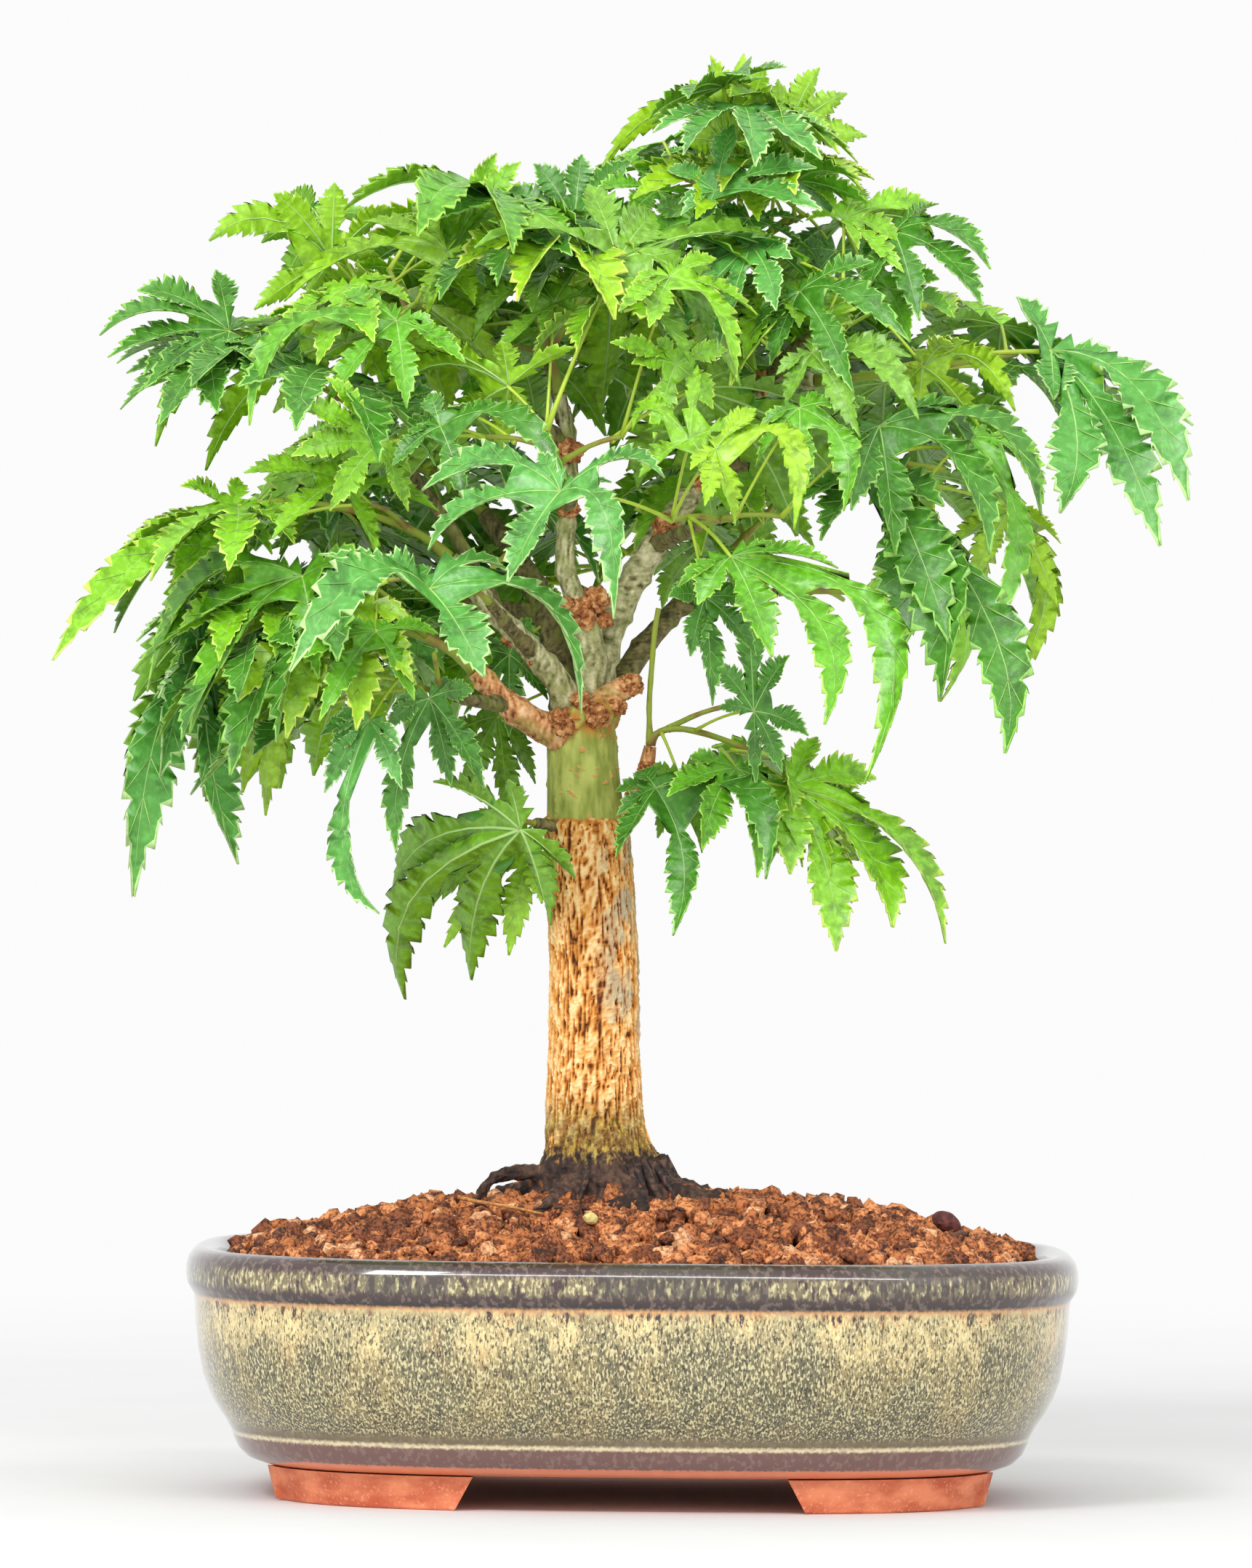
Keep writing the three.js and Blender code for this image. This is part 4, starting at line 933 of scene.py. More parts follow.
# A bough with a collar at its foot, rings where leaves once stood, and fine lengthwise cracks
def makeLimb(name, limb, finish):
    shape = limbShape
    way = Way(limb["way"])
    length = way.lengths[-1]
    count = max(10, int(length / shape["step"]))
    knee, slimmer = limb.get("knee", (length, 1))
    seed = sum(ord(letter) for letter in name)
    radii = []
    for place in np.linspace(0, length, count):
        radius = limb["foot"] + (limb["tip"] - limb["foot"]) * (place / length)
        collar = shape["collar"] * math.exp(-place / shape["collarReach"])
        fromRing = place % shape["ringSpacing"] - shape["ringSpacing"] / 2
        ring = shape["ring"] * math.exp(-(fromRing / shape["ringWidth"]) ** 2) * min(1, radius / 3)
        radius *= 1 - (1 - slimmer) * smooth(place, knee - 2, knee + 2)
        radii.append(radius + collar * radius / 4 + ring)

    def bark(turn, share):
        ring = Vector((math.cos(turn), math.sin(turn), 0)) * 2.2
        along = share * length
        crack = noise.noise(ring * 1.6 + Vector((seed, 0, along * 0.12)))
        lump = noise.noise(ring * 0.5 + Vector((0, seed, along * 0.3)))
        return 1 + shape["crack"] * crack + shape["lump"] * lump

    bm = bmesh.new()
    addTube(bm, way.spaced(count), radii, shape["sides"], bark)
    mesh = finishPiece(name + "_bark", bm, finish, [name]).data
    streaks, shift = Vector(shape["streaks"]) * metre, Vector((seed, 0, 0))
    setRelief(mesh, [0.5 + 0.6 * noise.noise(vert.co * streaks + shift) for vert in mesh.vertices])


# Foliage: the masses of the frame's own source, grown by the same rule

massTable = {  # the limb, where the stem ends, its shoots, the leaves at its end and how far they rise
    "leaves_far_left": {"limb": "branch_far_left", "to": (-92, 0, 268), "shoots": 2, "ends": 2, "lift": 14,
                        "seed": 414, "tones": "side"},
    "leaves_far_right": {"limb": "bough_right", "to": (89, -2, 271), "shoots": 1, "lift": 4, "seed": 102,
                         "tones": "side"},
    "leaves_trunk_left": {"limb": "spur_left", "to": (-27, -12, 159), "shoots": 0, "lift": -16,
                          "stalk": (6, 14), "seed": 952, "tones": "bright"},
    "leaves_low_right": {"limb": "branch_low_right", "to": (27, -8, 176), "shoots": 1, "lift": -14,
                         "seed": 1184, "tones": "bright"},
    "leaves_left": {"limb": "bough_high_left", "to": (-84, -10, 234), "shoots": 2, "ends": 2, "lift": 6,
                    "seed": 1135, "tones": "side"},
    "leaves_low_left": {"limb": "bough_low_left", "to": (-82, -10, 208), "shoots": 2, "lift": -4, "seed": 256,
                        "tones": "side"},
    "leaves_upper_left": {"limb": "branch_upper_left", "to": (-66, -6, 283), "shoots": 2, "ends": 2,
                          "lift": 16, "seed": 1013, "tones": "top"},
    "leaves_upper_right": {"limb": "branch_upper_right", "to": (54, -16, 289), "shoots": 2, "ends": 2,
                           "lift": 8, "seed": 981, "tones": "top"},
    "leaves_top": {"limb": "bough_leader", "to": (-28, -6, 288), "shoots": 2, "ends": 2, "lift": 24,
                   "seed": 92, "tones": "top"},
    "leaves_right": {"limb": "branch_right", "to": (72, 2, 243), "shoots": 2, "ends": 2, "lift": -4,
                     "seed": 583, "tones": "side"},
    "leaves_inner_left": {"limb": "branch_inner_left", "to": (-56, -32, 192), "shoots": 1, "lift": -8,
                          "seed": 1057, "tones": "side"},
    "leaves_front_left": {"limb": "branch_front_left", "to": (-46, -46, 216), "shoots": 2, "ends": 2,
                          "lift": 0, "seed": 1178, "tones": "front"},
    "leaves_front": {"limb": "branch_front", "to": (-22, -44, 250), "shoots": 2, "lift": 6, "seed": 579,
                     "tones": "front"},
    "leaves_right_front": {"limb": "branch_right_front", "to": (22, -40, 230), "shoots": 2, "ends": 2,
                           "lift": 2, "seed": 1020, "tones": "front"},
    "leaves_right_low": {"limb": "branch_back_right", "to": (58, 22, 214), "shoots": 1, "ends": 2, "lift": -4,
                         "seed": 1031, "tones": "side"},
    "leaves_right_top": {"limb": "branch_right_top", "to": (46, 42, 276), "shoots": 2, "ends": 2, "lift": 8,
                         "seed": 1105, "tones": "top"},
    "leaves_back_top": {"limb": "branch_back_top", "to": (-24, 44, 280), "shoots": 2, "ends": 2, "lift": 10,
                        "seed": 426, "tones": "top"},
    "leaves_back_left": {"limb": "bough_back_left", "to": (-60, 44, 246), "shoots": 2, "ends": 2, "lift": 2,
                         "seed": 147, "tones": "side"},
    "leaves_back_low": {"limb": "branch_back_low", "to": (-66, 40, 210), "shoots": 1, "ends": 2, "lift": -4,
                        "seed": 868, "tones": "side"},
    "leaves_back": {"limb": "bough_back", "to": (-8, 54, 222), "shoots": 2, "ends": 2, "lift": 0, "seed": 669,
                    "tones": "front"},
    "leaves_back_right": {"limb": "bough_back_right", "to": (36, 48, 238), "shoots": 2, "ends": 2, "lift": 0,
                          "seed": 670, "tones": "side"},
    "leaves_crest": {"limb": "branch_crest", "to": (22, -2, 318), "shoots": 3, "ends": 4, "lift": 40,
                     "sizes": (0.5, 0.72), "seed": 416, "tones": "top"},
}

leafShape = {
    "lobes": [(-68, 0.7), (-33, 0.92), (0, 1), (33, 0.92), (68, 0.7)],
    "baseLobe": (106, 0.36),
    "length": 50,
    "steps": 10,
    "droop": 0.024,
    "web": [0, 0.08, 0.16, 0.24, 0.31],
    "webLift": 14.5,
    "outline": [(0, 4.5), (0.31, 4.5), (0.37, 4.2), (0.48, 6.5), (0.6, 7.1), (0.7, 6.3), (0.8, 4.5),
                (0.88, 2.9), (0.94, 1.6), (1, 0.2)],  # share of a lobe's length, half width
    "teeth": 5,
    "baseTeeth": 3,
    "toothSteps": [(0.12, -1), (0.4, 0.3), (0.52, -0.25), (0.95, 1)],
    "toothCut": 0.36,
    "toothOut": 0.12,
    "twist": 0.75,
    "toothLean": 0.03,
    # width of the margin strip that is pale with painted rim light
    "margin": 0.45,
    "thickness": 0.35,
    "sway": 3.5,
    "seed": 900,
    "kinds": 6,
    "widths": (0.93, 1.07),
    "outerWedge": 0.7,
    "marginShare": 0.4,
    "folds": (0.3, 0.62),
    "ripples": (0.4, 0.75),
    "veinRadii": (0.6, 0.2),
    "veinSteps": 8,
    "sideVeinRadii": (0.22, 0.08),
}
growth = {
    "bend": 0.35,
    "stemSteps": [0, 0.07, 0.38, 0.66, 1],
    "stemTip": 0.9,
    "limbShare": 0.85,
    "sizes": (0.74, 1.04),
    "step": 2.4,
    "stalkLength": (13, 31),
    "tries": 14,
    "extra": 7,
    "extraSizes": (0.5, 0.82),
    "apart": 8,
    "photoSide": -34,  # leaves nearer than this are the ones that the photograph shows
}


# Turn and share of the length of each lobe, the two small ones beside the stalk included
def allLobes():
    turn, share = leafShape["baseLobe"]
    return [(-turn, share), *leafShape["lobes"], (turn, share)]


def leafKind(roll):
    return int(roll(0, leafShape["kinds"] - 0.01))


def bowed(start, control, end, share):  # a point of the curve that leaves start towards control
    return start * (1 - share) ** 2 + control * 2 * share * (1 - share) + end * share * share


def massTwigs(mass, start, stemFoot):
    roll = Dice(mass["seed"]).roll
    to = np.array(mass["to"], float)
    way = unit(to - start["at"])
    across = unit(np.cross(way, up))
    rise = np.cross(across, way)
    bend = start["at"] + start["way"] * np.linalg.norm(to - start["at"]) * growth["bend"]
    stem = [bowed(start["at"], bend, to, share) for share in growth["stemSteps"]]
    drawn = [bowed(start["at"], bend, to, share) for share in np.linspace(0, 1, 12)]
    twigs = [{"points": drawn, "foot": stemFoot, "tip": growth["stemTip"]}]
    tips = [{"at": to, "way": way, "leaves": mass.get("ends", 3)}]
    for i in range(mass["shoots"]):
        lean = math.radians(roll(-20, 35))
        sway = across * (1 if i % 2 else -1) * math.cos(lean) + rise * math.sin(lean)
        opened = math.radians(roll(48, 66))
        shoot = way * math.cos(opened) + sway * math.sin(opened)
        root = stem[2 + i % 2]
        end = root + shoot * roll(15, 23)
        arched = [root + (end - root) * t + up * 4 * t * (1 - t) for t in np.linspace(0, 1, 7)]
        twigs.append({"points": arched, "foot": growth["stemTip"] * 1.15, "tip": growth["stemTip"] * 0.8})
        tips.append({"at": end, "way": shoot, "leaves": 2})
    return twigs, tips


# One try at a leaf beside the tip of a twig: where it meets its stalk, how it lies and where its lobes end
def leafOn(mass, tip, order, number, attempt, sizes=None):
    roll = Dice(mass["seed"] * 1000 + number * 20 + attempt).roll
    heading = math.atan2(tip["way"][1], tip["way"][0])
    spread = (-1, 1, 0)[order % 3] * roll(38, 72) + roll(-12, 12) + attempt * roll(-14, 14)
    turn = heading + math.radians(spread)
    climb = math.radians(mass["lift"] + roll(-16, 26))
    out = np.array([math.cos(turn), math.sin(turn), 0])
    reach = out * math.cos(climb) + up * math.sin(climb)
    root = tip["at"] - tip["way"] * (growth["step"] * order + 0.5)
    junction = root + reach * roll(*mass.get("stalk", growth["stalkLength"]))
    pitch = math.radians(mass["lift"] * 0.8 - roll(4, 44))
    tilt = math.radians(roll(-24, 24))
    way = out * math.cos(pitch) + up * math.sin(pitch)
    level = np.array([-out[1], out[0], 0])
    face = unit(-np.cross(way, level))
    face = unit(face * math.cos(tilt) + level * math.sin(tilt))
    size = roll(*(sizes or mass.get("sizes") or growth["sizes"]))
    leaf = {"root": root, "junction": junction, "way": way, "side": np.cross(way, face), "upper": -face,
            "size": size, "kind": leafKind(roll), "toneShare": roll(0, 1), "tones": mass["tones"]}
    paths = [lobePath(leaf, lobe) for lobe in allLobes()]
    leaf["tips"] = np.array([path[-1] for path in paths])
    middles = np.array([path[len(path) // 2] for path in paths])
    sways = np.array([leaf["side"] * roll(-1, 1) * leafShape["sway"] for _ in paths])
    leaf["controls"] = 2 * middles - (junction + leaf["tips"]) / 2 + sways
    leaf["twists"] = np.array([roll(-1, 1) * leafShape["twist"] for _ in paths])
    return leaf


# Points along a lobe by the source's steps
def lobePath(leaf, lobe):
    degrees, share = lobe
    turn = math.radians(degrees)
    step = leafShape["length"] * leaf["size"] * share / leafShape["steps"]
    path = [leaf["junction"]]
    along = leaf["way"] * math.cos(turn) + leaf["side"] * math.sin(turn)
    for _ in range(leafShape["steps"]):
        path.append(path[-1] + along * step)
        along = unit(along - up * leafShape["droop"] * step)
    return path


photoShape = {
    "middle": (861, 1078),  # the photograph's middle pixel
    "at": (-2.7, 168),  # the place that it shows, across and up
    "scale": 5.82,  # pixels for each millimetre there
    "distance": 2400,
    "roll": 0.0105,
    "fall": 0.0033,
}


# Place of a pixel of the photograph at a depth behind the middle of the pot
def photoPlace(px, py, depth):
    (middleX, middleY), (atX, atZ) = photoShape["middle"], photoShape["at"]
    far = (photoShape["distance"] + depth) / photoShape["distance"] / photoShape["scale"]
    across = (px - middleX) * far
    high = (middleY - py) * far
    x = atX + across - photoShape["roll"] * high
    z = atZ + high + photoShape["roll"] * across - photoShape["fall"] * depth
    return np.array([x, depth, z])


def photoPixel(place):
    (middleX, middleY), (atX, atZ) = photoShape["middle"], photoShape["at"]
    far = (photoShape["distance"] + place[1]) / photoShape["distance"] / photoShape["scale"]
    across = (place[0] - atX) / far
    high = (place[2] - atZ + photoShape["fall"] * place[1]) / far
    return middleX + across + photoShape["roll"] * high, middleY - high + photoShape["roll"] * across


# Places of the photograph that are open, each as left, top, right and bottom in pixels: in front of the
# trunk and boughs, or at any depth
openFront = [(640, 830, 905, 1130), (755, 500, 815, 650), (1180, 466, 1430, 502)]
openAll = [(850, 850, 900, 1035), (900, 905, 985, 990), (600, 1270, 1010, 1640), (870, 1130, 925, 1640),
           (295, 347, 430, 425), (100, 560, 200, 690), (215, 620, 375, 680), (1330, 300, 1500, 440),
           (1460, 600, 1520, 860), (1130, 740, 1250, 930), (1225, 900, 1270, 1100), (100, 950, 160, 1300),
           (1490, 380, 1700, 512), (1120, 960, 1270, 1060),
           (1320, 900, 1460, 1300), (300, 1080, 420, 1300), (1050, 1290, 1300, 1400), (700, 100, 890, 200),
           (520, 190, 590, 245), (1225, 180, 1330, 260)]
openTo = {"front": 4, "all": 200}  # the depths that the windows of each list reach to
bareShoot = [(893, 970), (897, 910), (901, 862), (906, 836)]
faces = {"top": (0, -0.55, 0.83), "under": (0, 0.6, 0.8), "front": (0, -1, 0.2), "back": (0, 1, 0.2)}

# Leaves that the photograph shows: the pixel where the lobes meet, the depth, the side that is seen, and
# the pixels of the lobes' tips. A tip with four numbers also names a pixel that its lobe bows towards, and
# "foot" is where the stalk starts.
photoLeaves = [
    {"at": (1000, 200), "depth": -2, "face": "back", "tone": "lime",
     "tips": [(1023, 75), (978, 77), (826, 228, 915, 152), (1060, 120), (950, 110), (940, 190)]},
    {"at": (1078, 194), "depth": -6, "face": "back", "tone": "fresh",
     "tips": [(1127, 92), (1164, 127), (1191, 183), (1070, 110), (1150, 240)]},
    {"at": (984, 262), "depth": -16, "face": "top", "tone": "blue",
     "tips": [(1009, 168), (1120, 232), (916, 228), (968, 308), (1127, 291)]},
    {"at": (1160, 300), "depth": -10, "face": "top", "tone": "fresh",
     "tips": [(1185, 253), (1281, 276), (1240, 330), (1120, 262)]},
    {"at": (1230, 318), "depth": -8, "face": "top", "tone": "deep",
     "tips": [(1357, 370, 1300, 310), (1346, 423, 1300, 350), (1290, 280), (1262, 440)]},
    {"at": (626, 340), "depth": -8, "face": "front", "tone": "fresh",
     "tips": [(681, 209), (714, 221), (599, 267), (731, 248), (560, 300)]},
    {"at": (615, 345), "depth": -14, "face": "top", "tone": "fresh",
     "tips": [(393, 406, 500, 340), (589, 433), (500, 300), (653, 420), (566, 280)]},
    {"at": (850, 359), "depth": -26, "face": "top", "tone": "blue",
     "tips": [(657, 341, 750, 310), (1120, 384, 1000, 320), (1015, 522, 930, 372), (809, 252), (900, 290)]},
    {"at": (763, 415), "depth": -20, "face": "top", "tone": "deep",
     "tips": [(651, 464, 700, 400), (865, 409), (832, 458), (710, 360), (800, 360)]},
    {"at": (922, 380), "depth": -34, "face": "top", "tone": "fresh",
     "tips": [(1012, 520, 985, 420), (893, 450), (985, 352), (1040, 430)]},
    {"at": (1100, 400), "depth": -20, "face": "top", "tone": "deep",
     "tips": [(1245, 470, 1170, 400), (1170, 540), (1060, 500), (1200, 360), (1030, 470)]},
    {"at": (456, 357), "depth": -4, "face": "back", "tone": "fresh",
     "tips": [(294, 332, 370, 300), (460, 252), (540, 284), (380, 270), (520, 350)]},
    {"at": (475, 470), "depth": -10, "face": "under", "tone": "fresh",
     "tips": [(207, 600, 300, 480), (278, 635, 360, 520), (374, 560), (430, 400), (560, 480)]},
    {"at": (315, 455), "depth": -6, "face": "top", "tone": "deep",
     "tips": [(296, 370), (191, 399, 250, 410), (144, 461, 220, 425), (156, 492), (207, 535)]},
    {"at": (545, 440), "depth": -22, "face": "top", "tone": "mid",
     "tips": [(345, 578, 400, 450), (450, 560), (560, 560), (470, 400), (640, 500)]},
    {"at": (321, 704), "depth": -12, "face": "top", "tone": "fresh",
     "tips": [(92, 903, 192, 770), (157, 800), (326, 656), (243, 800), (334, 879), (250, 668)]},
    {"at": (415, 792), "depth": -20, "face": "top", "tone": "mid",
     "tips": [(204, 940, 290, 790), (187, 918), (508, 768), (265, 1000, 330, 860), (440, 930)]},
    {"at": (276, 883), "depth": -10, "face": "front", "tone": "blue",
     "tips": [(184, 1222, 214, 1010), (315, 1074), (326, 1183, 290, 1050), (224, 1061), (240, 850)]},
    {"at": (375, 905), "depth": -18, "face": "under", "tone": "lime",
     "tips": [(360, 1116), (330, 1085), (300, 990), (430, 990)]},
    {"at": (517, 868), "depth": -26, "face": "top", "tone": "mid",
     "tips": [(443, 988), (569, 960), (400, 910), (600, 870)]},
    {"at": (508, 990), "depth": -24, "face": "front", "tone": "blue",
     "tips": [(456, 1035), (447, 1087), (519, 1252, 470, 1150), (553, 1083), (440, 1010)]},
    {"at": (590, 960), "depth": -18, "face": "front", "tone": "deep",
     "tips": [(545, 1168, 550, 1060), (665, 1083), (620, 1080), (650, 950), (530, 1000)]},
    {"at": (771, 675), "depth": -50, "face": "top", "tone": "blue",
     "tips": [(845, 843, 830, 700), (912, 655, 850, 630), (582, 668, 680, 630), (590, 752, 660, 690),
              (700, 797), (740, 622)]},
    {"at": (590, 809), "depth": -46, "face": "top", "tone": "blue",
     "tips": [(665, 928), (710, 797, 650, 770), (799, 971, 740, 820), (408, 916, 500, 790), (520, 780)]},
    {"at": (605, 586), "depth": -30, "face": "top", "tone": "deep",
     "tips": [(779, 659, 700, 570), (640, 690), (700, 560), (540, 640), (590, 540)]},
    {"at": (520, 610), "depth": -28, "face": "front", "tone": "fresh",
     "tips": [(404, 627), (450, 520), (455, 700), (560, 700), (405, 560)]},
    {"at": (700, 530), "depth": -24, "face": "under", "tone": "fresh",
     "tips": [(520, 560, 600, 500), (560, 470), (690, 470), (790, 480), (610, 600)]},
    {"at": (470, 660), "depth": -22, "face": "top", "tone": "mid",
     "tips": [(380, 740), (340, 650), (520, 770), (600, 700), (440, 600)]},
    {"at": (949, 603), "depth": -44, "face": "top", "tone": "mid",
     "tips": [(870, 590, 900, 560), (880, 655), (1000, 700), (960, 500), (1040, 590)]},
    {"at": (985, 617), "depth": -50, "face": "top", "tone": "lime",
     "tips": [(1093, 721, 1080, 600), (1077, 592), (1010, 720), (1040, 560)]},
    {"at": (1117, 484), "depth": -26, "face": "top", "tone": "blue",
     "tips": [(1258, 576, 1200, 490), (1250, 490), (1180, 600), (1080, 560), (1150, 420)]},
    {"at": (1210, 585), "depth": -26, "face": "top", "tone": "deep",
     "tips": [(1358, 757, 1320, 630), (1342, 633, 1290, 560), (1430, 700, 1360, 580), (1230, 760),
              (1170, 700)]},
    {"at": (1204, 641), "depth": -18, "face": "top", "tone": "deep",
     "tips": [(1238, 890, 1250, 760), (1288, 956, 1290, 780), (1376, 1028, 1360, 850), (1300, 880),
              (1130, 740)]},
    {"at": (1334, 600), "depth": -12, "face": "top", "tone": "mid",
     "tips": [(1434, 689, 1400, 620), (1358, 866, 1400, 720), (1300, 560), (1420, 640)]},
    {"at": (1390, 700), "depth": -8, "face": "under", "tone": "lime",
     "tips": [(1459, 745), (1455, 830), (1398, 938, 1440, 800), (1340, 800)]},
    {"at": (1278, 755), "depth": -6, "face": "under", "tone": "fresh",
     "tips": [(1322, 840), (1240, 830), (1300, 960, 1330, 860), (1280, 700)]},
    {"at": (1005, 765), "depth": -40, "face": "top", "tone": "mid", "foot": (860, 681),
     "tips": [(1191, 1065, 1210, 850), (1133, 990, 1130, 860), (1149, 780), (1060, 900), (960, 830)]},
    {"at": (970, 821), "depth": -36, "face": "front", "tone": "deep", "foot": (876, 838),
     "tips": [(980, 966), (950, 900), (1040, 900), (920, 820), (1040, 830)]},
    {"at": (1100, 560), "depth": -30, "face": "top", "tone": "mid",
     "tips": [(1160, 700, 1160, 610), (1100, 690), (1040, 640), (1180, 560)]},
    {"at": (930, 500), "depth": -30, "face": "front", "tone": "fresh",
     "tips": [(980, 560), (900, 600), (870, 500), (1000, 480)]},
    {"at": (1037, 978), "depth": -16, "face": "front", "tone": "deep", "foot": (932, 1038),
     "tips": [(1029, 842), (1085, 902), (1040, 1080), (985, 915), (1110, 1010), (1075, 1060)]},
    {"at": (1086, 1083), "depth": -12, "face": "top", "tone": "fresh", "foot": (904, 1079),
     "tips": [(1297, 1288, 1232, 1150), (1149, 1302, 1136, 1190), (1226, 1269, 1190, 1165), (1086, 1198),
              (1204, 1070), (1125, 1014)]},
    {"at": (902, 1083), "depth": -10, "face": "top", "tone": "deep",
     "tips": [(927, 1280, 940, 1180), (1053, 1200, 1030, 1090), (1004, 1072), (880, 1060)]},
    {"at": (1446, 481), "depth": 0, "face": "top", "tone": "blue", "foot": (1158, 492),
     "tips": [(1401, 407), (1448, 548), (1589, 745, 1532, 590), (1627, 682, 1562, 530),
              (1455, 704, 1482, 600)]},
    {"at": (1270, 503), "depth": -14, "face": "under", "tone": "lime",
     "tips": [(1346, 584), (1395, 560, 1340, 490), (1260, 610), (1330, 470)]},
    {"at": (1020, 190), "depth": 6, "face": "back", "tone": "fresh",
     "tips": [(975, 92), (1052, 96), (1112, 128), (1140, 190), (930, 120), (1150, 230)]},
    {"at": (790, 305), "depth": -4, "face": "front", "tone": "deep",
     "tips": [(735, 225), (800, 212), (868, 222), (690, 262), (880, 290)]},
    {"at": (905, 262), "depth": -6, "face": "top", "tone": "mid",
     "tips": [(850, 212), (950, 232), (866, 300), (930, 330), (820, 262)]},
    {"at": (440, 300), "depth": 4, "face": "back", "tone": "deep",
     "tips": [(400, 262), (470, 262), (360, 330), (520, 300)]},
    {"at": (684, 985), "depth": 12, "face": "front", "tone": "deep",
     "tips": [(640, 1085), (735, 1075), (600, 1030), (700, 1130), (660, 930)]},
    {"at": (730, 1160), "depth": -4, "face": "front", "tone": "fresh",
     "tips": [(612, 1300), (700, 1310), (560, 1262), (745, 1240), (650, 1120)]},
    {"at": (935, 1070), "depth": -4, "face": "front", "tone": "deep",
     "tips": [(905, 1150), (965, 1170), (1000, 1110), (1010, 1060), (880, 1080)]},
    {"at": (716, 1140), "depth": -16, "face": "under", "tone": "deep",
     "tips": [(549, 1373, 570, 1230), (645, 1346, 660, 1230), (538, 1220, 600, 1150), (598, 1075),
              (757, 1269), (700, 1072)]},
    {"at": (1030, 300), "depth": -8, "face": "top", "tone": "deep",
     "tips": [(1120, 352), (1060, 376), (990, 366), (940, 320), (1104, 302)]},
    {"at": (955, 302), "depth": -12, "face": "front", "tone": "mid",
     "tips": [(884, 334), (920, 384), (985, 376), (1004, 322), (900, 282)]},
    {"at": (1150, 345), "depth": 4, "face": "front", "tone": "deep",
     "tips": [(1230, 410), (1170, 440), (1100, 420), (1090, 350), (1210, 350)]},
    {"at": (1221, 396), "depth": -4, "face": "top", "tone": "mid",
     "tips": [(1309, 438), (1250, 470), (1160, 460), (1190, 352), (1290, 384)]},
    {"at": (700, 900), "depth": 4, "face": "front", "tone": "deep",
     "tips": [(640, 980), (700, 1010), (752, 960), (620, 900), (730, 850)]},
]


shownLeaf = {
    "seed": 5000,
    "nearer": 1.55,  # the table's depths are stretched by this and moved by the next
    "forward": -4,
    "yaw": (0.25, 0.6),
    "sway": 0.16,
    "leanReach": 46,
    "bow": 0.09,
    "sizes": (0.5, 1.12),
    "fan": 0.85,
    "hang": 0.22,
    "freeShare": 0.7,
    "stalkBack": 16,
    "stalkDrop": 4,
    "stalkDepth": 0.6,
}


# Places of the listed tips, each with the control point of its lobe's curve
def listedTips(row, junction, upper, yaw, roll):
    listed = []
    for px, py, *bow in row["tips"]:
        tip = photoPlace(px, py, junction[1])
        flat = tip - junction
        length = np.linalg.norm(flat)
        lean = -upper[2] / upper[1] * flat[2] / length
        tip[1] += length * 0.5 * min(1, max(-1, lean)) * min(1, shownLeaf["leanReach"] / length)
        tip[1] += yaw * flat[0] + roll(-shownLeaf["sway"], shownLeaf["sway"]) * length
        if bow:
            middle = photoPlace(*bow, (tip[1] + junction[1]) / 2)
        else:
            middle = (junction + tip) / 2 + up * shownLeaf["bow"] * length
        listed.append((tip, 2 * middle - (junction + tip) / 2))
    return listed


# A leaf of the table: its listed tips go to the lobes nearest in turn, the others keep the blade's own shape
def photoLeaf(row, number):
    roll = Dice(shownLeaf["seed"] + number).roll
    junction = photoPlace(*row["at"], row["depth"] * shownLeaf["nearer"] + shownLeaf["forward"])
    upper = np.array(faces[row["face"]], float)
    yaw = roll(*shownLeaf["yaw"]) * (1 if number % 2 else -1)
    upper = unit(upper - np.array([yaw * upper[1], 0, 0]))
    listed = listedTips(row, junction, upper, yaw, roll)
    reaches = [tip - junction for tip, _ in listed]
    longest = max(reaches, key=np.linalg.norm)
    way = unit(sum(unit(reach) for reach in reaches) + unit(longest))
    way = unit(way - upper * np.dot(way, upper))
    side = np.cross(upper, way)
    rows = allLobes()
    turns = [math.degrees(math.atan2(np.dot(reach, side), np.dot(reach, way))) for reach in reaches]
    order = sorted(range(len(listed)), key=lambda index: turns[index])
    first = min(range(len(rows) - len(listed) + 1),
                key=lambda start: sum(abs(rows[start + i][0] - turns[k]) for i, k in enumerate(order)))
    spans = [np.linalg.norm(reaches[k]) / rows[first + i][1] for i, k in enumerate(order)]
    smallest, largest = shownLeaf["sizes"]
    size = min(largest, max(smallest, float(np.median(spans)) / leafShape["length"]))
    tips, controls = [], []
    for index, (degrees, share) in enumerate(rows):
        spot = index - first
        if 0 <= spot < len(order):
            tip, control = listed[order[spot]]
        else:
            beside = turns[order[0]] if spot < 0 else turns[order[-1]]
            nearest = rows[first][0] if spot < 0 else rows[first + len(order) - 1][0]
            turn = math.radians(beside + (degrees - nearest) * shownLeaf["fan"])
            along = way * math.cos(turn) + side * math.sin(turn) - up * shownLeaf["hang"]
            tip = junction + along * leafShape["length"] * size * min(share, shownLeaf["freeShare"])
            control = (junction + tip) / 2 + up * 2
        tips.append(tip)
        controls.append(control)
    if "foot" in row:
        foot = photoPlace(*row["foot"], row["depth"] * shownLeaf["stalkDepth"])
    else:
        foot = junction - way * shownLeaf["stalkBack"] - up * shownLeaf["stalkDrop"]
    return {"junction": junction, "upper": upper, "way": way, "foot": foot, "size": size,
            "kind": leafKind(roll), "tone": row["tone"], "tips": np.array(tips),
            "controls": np.array(controls),
            "twists": np.array([roll(-1, 1) * leafShape["twist"] for _ in tips])}


